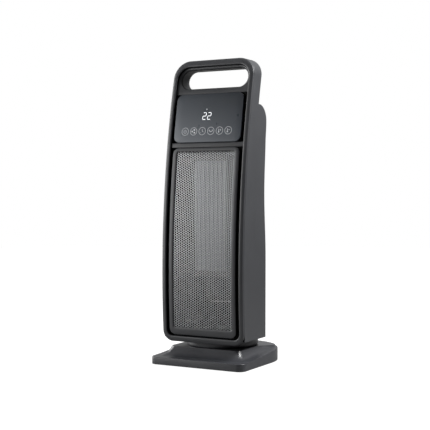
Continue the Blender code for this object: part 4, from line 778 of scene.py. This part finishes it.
def makeIcons():
    z = panel["iconHeight"]
    line = panel["line"]
    shapes = []
    places = [panel["iconShift"] + (i - 2.5) * panel["iconPitch"] for i in range(6)]
    for x in places:
        shapes.append(inkLine(arcPath(x, z, panel["iconRadius"], 0, 348.75, 31), line, closed=True))
    x = places[0]  # power
    shapes.append(inkLine(arcPath(x, z - 0.2 * mm, 2.9 * mm, 125, 415), line))
    shapes.append(inkLine([(x, z + 0.2 * mm), (x, z + 3.6 * mm)], line))
    x = places[1]  # fan
    for turn in (70, 190, 310):
        blade = []
        for i in range(12):
            angle = radians(turn + 30 * i - 30)
            reach = 2.6 * mm + 1.7 * mm * cos(radians(30 * i))
            centre = radians(turn)
            blade.append((x + 2.5 * mm * cos(centre) + 1.75 * mm * cos(angle) * (reach / (4.3 * mm) + 0.35),
                          z + 2.5 * mm * sin(centre) + 1.75 * mm * sin(angle) * (reach / (4.3 * mm) + 0.35)))
        shapes.append(inkPatch(blade))
    x = places[2]  # timer
    shapes.append(inkLine([(x, z + 3.8 * mm), (x, z)], line * 1.1))
    shapes.append(inkLine([(x - 0.2 * mm, z), (x + 2.7 * mm, z - 1.6 * mm)], line * 1.1))
    shapes.append(inkLine([(x - 3.4 * mm, z - 3 * mm), (x - 2.6 * mm, z - 2.2 * mm)], line))
    x = places[3]  # swivel
    shapes.append(inkLine(arcPath(x, z + 2.2 * mm, 3.9 * mm, 205, 335), line))
    for side in (-1, 1):
        tip = (x + side * 4.3 * mm, z + 2.2 * mm)
        shapes.append(inkPatch([tip, (tip[0] - side * 2.5 * mm, tip[1] - 0.6 * mm),
                                (tip[0] - side * 0.4 * mm, tip[1] - 2.6 * mm)]))
    shapes.append(inkPatch([(x - 1.2 * mm, z - 0.4 * mm), (x + 1.2 * mm, z - 0.4 * mm), (x, z - 2.6 * mm)]))
    for x, plus in ((places[4], True), (places[5], False)):  # warmer and cooler
        shapes.append(inkLine([(x - 1.5 * mm, z + 3.6 * mm), (x - 1.5 * mm, z - 2 * mm)], line * 1.5))
        shapes.append(inkPatch(circle(x - 1.5 * mm, z - 2.3 * mm, 1.5 * mm, 14)))
        shapes.append(inkLine([(x + 0.5 * mm, z + 1.3 * mm), (x + 3.7 * mm, z + 1.3 * mm)], line))
        if plus:
            shapes.append(inkLine([(x + 2.1 * mm, z - 0.3 * mm), (x + 2.1 * mm, z + 2.9 * mm)], line))
    mark = Vector(panel["heatMark"])  # heating mark over the digits
    flame = ((0.0, 1.7), (-1.2, -0.3), (-0.9, -1.4), (0.9, -1.4), (1.2, -0.3))
    shapes.append(inkPatch([(mark.x + x * mm, mark.y + z * mm) for x, z in flame]))
    piece = makeObject("panel_icons", gathered(shapes), iconInk)
    return settle(piece, "tower", "smoked_panel")


def makeDigits():
    # a seven-segment two, twice, each bar with pointed ends and a slight lean
    shapes = []
    halfHigh, width = panel["digitHeight"] / 2, panel["digitWidth"]
    lean = panel["digitLean"]
    corners = {"tl": (0, 1), "tr": (1, 1), "mr": (1, 0), "ml": (0, 0), "bl": (0, -1), "br": (1, -1)}
    for left in panel["digitPlaces"]:
        for a, b in (("tl", "tr"), ("tr", "mr"), ("mr", "ml"), ("ml", "bl"), ("bl", "br")):
            ends = []
            for key in (a, b):
                across, up = corners[key]
                dz = up * (halfHigh - panel["digitStroke"] / 2)
                ends.append(Vector((left - width / 2 + across * width + dz * lean, panel["digitMiddle"] + dz)))
            along = (ends[1] - ends[0]).normalized()
            start, end = ends[0] + along * 0.25 * mm, ends[1] - along * 0.25 * mm
            side = Vector((-along.y, along.x)) * panel["digitStroke"] / 2
            point = along * panel["digitStroke"] / 2
            bar = [start, start + point + side, end - point + side, end, end - point - side, start + point - side]
            shapes.append(inkPatch([(p.x, p.y) for p in bar]))
    piece = makeObject("display_digits", gathered(shapes), litDigit)
    return settle(piece, "tower", "smoked_panel")


makePanel()
makeIcons()
makeDigits()
print("panel made")


# Air outlet: frame and punched sheet

outlet = {
    "sideFace": 9.3 * mm, "topFace": 7 * mm, "bottomFace": 14.5 * mm, "corner": 12 * mm,
    "meshCorner": 4 * mm, "sheetSetBack": 1.9 * mm, "sheetThick": 0.5 * mm, "columns": 32, "hole": 2.08 * mm,
    "tuck": 1.8 * mm,
}
meshHalf = grilleHalf - outlet["sideFace"]
meshBottom, meshTop = grilleBottom + outlet["bottomFace"], grilleTop - outlet["topFace"]


def makeOutletFrame():
    outer = roundedPath(grilleHalf, grilleBottom, grilleTop, outlet["corner"], None, 10, 60, 12)
    inner = roundedPath(meshHalf, meshBottom, meshTop, outlet["meshCorner"], None, 10, 60, 12)
    section = [(0.0, 9.0), (0.0, 1.6), (0.02, 0.95), (0.07, 0.5), (0.15, 0.22), (0.74, 0.22), (0.85, 0.35),
               (0.94, 0.75), (0.99, 1.2), (1.0, 1.6), (0.7, 1.6), (0.7, 9.0)]
    sections = []
    for share, depth in section:
        sections.append(onFront([a.lerp(b, share) for a, b in zip(outer, inner)], depth * mm))
    piece = makeObject("outlet_frame", skin(sections, loop=True), satinAbs, blackAbsAndPaintedShade)
    # painted shade: the outer side wall and the faces behind the lip get the black material
    for face in piece.data.polygons:
        level = face.index // len(outer)
        face.material_index = int(level < 1 or level > 8)
    return settle(piece, "tower", "satin_grey", "grille_frame")


def makePunchedSheet():
    # hexagonal cells side by side, each with a round punched hole: columns are 0.866 of the hole pitch apart
    step = 2 * meshHalf / outlet["columns"]
    pitch = step * 2 / sqrt(3)
    corner = pitch / sqrt(3)
    columns = outlet["columns"] + 1
    points, faces, index = [], [], {}

    def point(x, z):
        key = (round(x * 1e6), round(z * 1e6))
        if key not in index:
            index[key] = len(points)
            points.append((x, frontY(z, outlet["sheetSetBack"]), z))
        return index[key]

    limitHalf, low, high = meshHalf + outlet["tuck"], meshBottom - outlet["tuck"], meshTop + outlet["tuck"]
    for column in range(columns):
        cx = (column - (columns - 1) / 2) * step
        rows = int((high - low) / pitch) + 2
        for row in range(rows):
            cz = low + pitch * (row + (0.5 if column % 2 else 0.0))
            if cz + pitch / 2 > high or cz - pitch / 2 < low or abs(cx) + corner > limitHalf + pitch:
                continue
            rim, hole = [], []
            for i in range(12):
                angle = radians(30 * i)
                reach = corner if i % 2 == 0 else corner * cos(radians(30))
                rim.append(point(cx + reach * cos(angle), cz + reach * sin(angle)))
                hole.append(point(cx + outlet["hole"] * cos(angle), cz + outlet["hole"] * sin(angle)))
            for i in range(12):
                j = (i + 1) % 12
                faces.append((rim[i], rim[j], hole[j], hole[i]))
    piece = makeObject("punched_outlet_sheet", (points, faces), punchedSteel, paintedShadeSteel)
    thicken = piece.modifiers.new("sheet", "SOLIDIFY")
    thicken.thickness = outlet["sheetThick"]
    thicken.offset = -1
    # painted shade: the sheet's back and its hole walls get the dark steel
    thicken.material_offset = 1
    thicken.material_offset_rim = 1
    applied(piece)
    return settle(piece, "tower", "steel_sheet", "grille_mesh", sharp=40)


makeOutletFrame()
makePunchedSheet()
print("outlet made")


# Ceramic heater: tubes with folded fins between them

core = {
    "banks": 7, "tube": 2.2 * mm, "tubeSetBack": 0.4 * mm, "tubeShort": 3 * mm, "foldPitch": 2.4 * mm,
    "finThick": 0.3 * mm, "finSetBack": 1 * mm, "finOverlap": 0.1 * mm, "endBar": 5 * mm,
}


def block(low, high, ease):
    # a bar along Z with eased long edges
    x0, y0, z0 = low
    x1, y1, z1 = high
    plan = [(x0 + ease, y0), (x1 - ease, y0), (x1, y0 + ease), (x1, y1 - ease), (x1 - ease, y1), (x0 + ease, y1),
            (x0, y1 - ease), (x0, y0 + ease)]
    return skin([[(x, y, z) for x, y in plan] for z in (z0, z1)], capStart=True, capEnd=True)


def makeCore():
    low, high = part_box("heater_core")
    pitch = (high.x - low.x - core["tube"]) / core["banks"]
    ends = [block(low, (high.x, high.y, low.z + core["endBar"]), 0.6 * mm),
            block((low.x, low.y, high.z - core["endBar"]), high, 0.6 * mm)]
    settle(makeObject("heater_end_bars", gathered(ends), heatResin), "tower", "aluminium")
    shapes = []
    shrink = Vector((0, core["tubeSetBack"], core["tubeShort"]))
    start, end = low + shrink, high - shrink
    for i in range(core["banks"] + 1):
        x = low.x + pitch * i
        shapes.append(block((x, start.y, start.z), (x + core["tube"], end.y, end.z), 0.5 * mm))
    folds = int((high.z - low.z - 2 * core["endBar"]) / (core["foldPitch"] / 2))
    for i in range(core["banks"]):
        x0 = low.x + pitch * i + core["tube"] - core["finOverlap"]
        x1 = low.x + pitch * (i + 1) + core["finOverlap"]
        near, far = low.y + core["finSetBack"], high.y - core["finSetBack"]
        sections = []
        for fold in range(folds + 1):
            x = x0 if fold % 2 else x1
            z = low.z + core["endBar"] + core["foldPitch"] / 2 * fold
            half = core["finThick"] / 2
            sections.append([(x, near, z - half), (x, far, z - half), (x, far, z + half), (x, near, z + half)])
        shapes.append(skin(sections, capStart=True, capEnd=True))
    piece = makeObject("ceramic_heater_fins", gathered(shapes), foldedAluminium)
    return settle(piece, "tower", "aluminium", "heater_core")


makeCore()
print("heater made")


# Base and swivel neck

base = {
    "halfWidth": 99.5 * mm, "front": 108 * mm, "rear": 108 * mm, "underside": 1.2 * mm, "straightTo": 12 * mm,
    "corner": 14 * mm, "rimFront": 15.3 * mm, "rimRear": 25 * mm, "top": 33 * mm, "rearDrop": 5 * mm,
    "coveSide": 24.5 * mm, "coveFront": 35 * mm, "coveRear": 7 * mm, "covePower": 3.6, "plateauCorner": 12 * mm,
    "bowPower": 2.3, "rearRim": 0.955, "edge": 1.2 * mm, "seat": 66 * mm, "hole": 22.9 * mm, "wall": 2.5 * mm,
    "cordHole": 6.3 * mm,
}


def baseOutline(halfWidth, front, rear, corner):
    # straight front and sides, then a full bow round the back, from the middle of the front
    side = [(halfWidth * 0.5 * i, -front) for i in (0, 0.6, 1.2)]
    for i in range(15):
        angle = radians(-90 + 90 * i / 14)
        side.append((halfWidth - corner + corner * cos(angle), -front + corner + corner * sin(angle)))
    straight = base["straightTo"] + front - corner
    side += [(halfWidth, -front + corner + straight * i / 16) for i in range(1, 17)]
    bow = 40
    for i in range(1, bow + 1):
        angle = pi / 2 * i / bow
        x = halfWidth * cos(angle) ** (2 / base["bowPower"]) if i < bow else 0.0
        side.append((x, base["straightTo"] + (rear - base["straightTo"]) * sin(angle) ** (2 / base["bowPower"])))
    return side + [(-x, y) for x, y in reversed(side[1:-1])]


def towardCentre(point, amount):
    reach = sqrt(point[0] ** 2 + point[1] ** 2)
    return (point[0] * (1 - amount / reach), point[1] * (1 - amount / reach))


def baseSections(inset, floor):
    outer = baseOutline(base["halfWidth"], base["front"], base["rear"], base["corner"])
    plateau = baseOutline(base["halfWidth"] - base["coveSide"], base["front"] - base["coveFront"],
                          base["rear"] - base["coveRear"], base["plateauCorner"])
    edgeTurns = (0, 30, 60, 90)
    coves = [1 - (1 - i / 18) ** 1.5 for i in range(1, 19)]
    sections = [[] for _ in range(1 + len(edgeTurns) + len(coves) + 2)]
    for (ox, oy), (px, py) in zip(outer, plateau):
        spread = smoothStep((py - 5 * mm) / (60 * mm))
        px += (ox * base["rearRim"] - px) * spread
        py += (oy * base["rearRim"] - py) * spread
        ox, oy = towardCentre((ox, oy), inset)
        px, py = towardCentre((px, py), inset)
        climb = smoothStep((oy + base["front"]) / (base["front"] + 70 * mm))
        rim = base["rimFront"] + (base["rimRear"] - base["rimFront"]) * climb - inset
        top = base["top"] - inset - base["rearDrop"] * smoothStep((py + 10 * mm) / base["rear"])
        edge = base["edge"]
        sections[0].append((ox, oy, floor))
        for n, a in enumerate(edgeTurns):
            drawn = towardCentre((ox, oy), edge * (1 - cos(radians(a))))
            sections[1 + n].append((*drawn, rim - edge + edge * sin(radians(a))))
        sx, sy = towardCentre((ox, oy), edge)
        for n, share in enumerate(coves):
            height = rim + (top - rim) * share ** base["covePower"]
            sections[1 + len(edgeTurns) + n].append((sx + (px - sx) * share, sy + (py - sy) * share, height))
        reach = sqrt(px ** 2 + py ** 2)
        for n, radius in enumerate((base["seat"] - inset, base["hole"])):
            sections[n - 2].append((px * radius / reach, py * radius / reach, base["top"] - inset))
    return sections


def makeBase():
    low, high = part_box("cord_gland")
    outside = baseSections(0.0, base["underside"])
    inside = baseSections(base["wall"], base["underside"])
    shell = makeObject("base_cover", skin(outside + list(reversed(inside)), loop=True), pianoAbs)
    middle = (low + high) / 2
    hole = circle(middle.x, middle.z, base["cordHole"])
    cutAway(shell, prism(hole, base["rear"] - 8 * mm, base["rear"] + 5 * mm))
    return settle(shell, "base", "gloss_black", "base_shell")


neck = {"bore": 14 * mm, "stem": 20 * mm, "hub": 34 * mm, "wall": 2.5 * mm, "turn": 1.5 * mm, "hubLow": 34.7 * mm,
        "skirtLow": 33.9 * mm}


def makeNeck():
    # a drum with a rounded top edge, hollow under its rim, on a stem that goes down into the base
    low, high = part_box("swivel_neck")
    r, top, turn, under = high.x, high.z, neck["turn"], high.z - neck["wall"]
    profile = [(neck["bore"], top)]
    profile += [(r - turn + turn * sin(radians(a)), top - turn + turn * cos(radians(a))) for a in range(0, 91, 15)]
    profile += [(r, 36 * mm), (r - 0.5 * mm, 34.2 * mm), (r - 1 * mm, neck["skirtLow"]),
                (r - neck["wall"], neck["skirtLow"]), (r - neck["wall"], under), (neck["hub"], under),
                (neck["hub"], neck["hubLow"]), (neck["stem"], neck["hubLow"]), (neck["stem"], low.z),
                (neck["bore"], low.z)]
    count = 128
    sections = [[(radius * cos(2 * pi * i / count), radius * sin(2 * pi * i / count), z) for radius, z in profile]
                for i in range(count)]
    piece = makeObject("swivel_drum", skin(sections, loop=True), pianoAbs)
    return settle(piece, "tower", "gloss_black", "swivel_neck")


makeBase()
makeNeck()
print("base made")


# Finishes on the CAD pieces that stay

finishes = {
    blackAbsAndPaintedShade: ["base_plate", "tower_floor", "switch_bezel", "power_rocker", "relay_1", "relay_2", "tilt_switch",
               "supply_capacitor", "thermal_cutout", "impeller", "display_module"],
    rubberFoot: ["foot_front_left", "foot_front_right", "foot_rear_left", "foot_rear_right", "cord_gland",
                 "upper_bearing"],
    nylon: ["swivel_bush", "sector_gear", "drive_pinion", "touch_light_guide"],
    heatResin: ["blower_duct", "heater_bracket_bottom", "heater_bracket_top"],
    boardLaminate: ["control_board", "power_board"],
    filterNet: ["dust_filter"],
    # painted shade: the blower motor is dark so that it stays unseen behind the mesh
    paintedShadeSteel: ["blower_motor"],
}
for name, node in nodes.items():
    if node.hide_render:
        continue
    chosen = next((material for material, names in finishes.items() if name in names), turnedSteel)
    node.data.materials.clear()
    node.data.materials.append(chosen)


# Floor

def makeFloor():
    # white painted board, seen as bright as the room's white wall
    material, tree, shader = newMaterial("painted_white_board", "#7e7e7d", 0.7, Emission_Strength=0.0)
    shader.inputs["Emission Color"].default_value = linear("#ffffff")
    ray = addNode(tree, "LightPath").outputs["Is Camera Ray"]
    glow = addNode(tree, "Math", {"operation": "MULTIPLY", 1: 0.94}, {0: ray})
    tree.links.new(glow.outputs[0], shader.inputs["Emission Strength"])
    place = addNode(tree, "TexCoord").outputs["Object"]
    roller = addNode(tree, "TexNoise", {"Scale": 1 / (40 * mm), "Detail": 2.0}, {"Vector": place}).outputs[0]
    glossBy(tree, shader, roller, 0.66, 0.74)
    reach = 4.0
    sections = [[(radius * cos(2 * pi * i / 96), radius * sin(2 * pi * i / 96), 0.0) for i in range(96)]
                for radius in (reach, 1.0, 0.3)]
    floor = makeObject("studio_floor", skin(sections, capEnd=True), material)
    if floor.data.polygons[0].normal.z < 0:
        floor.data.flip_normals()


makeFloor()
print("finishes and floor laid")
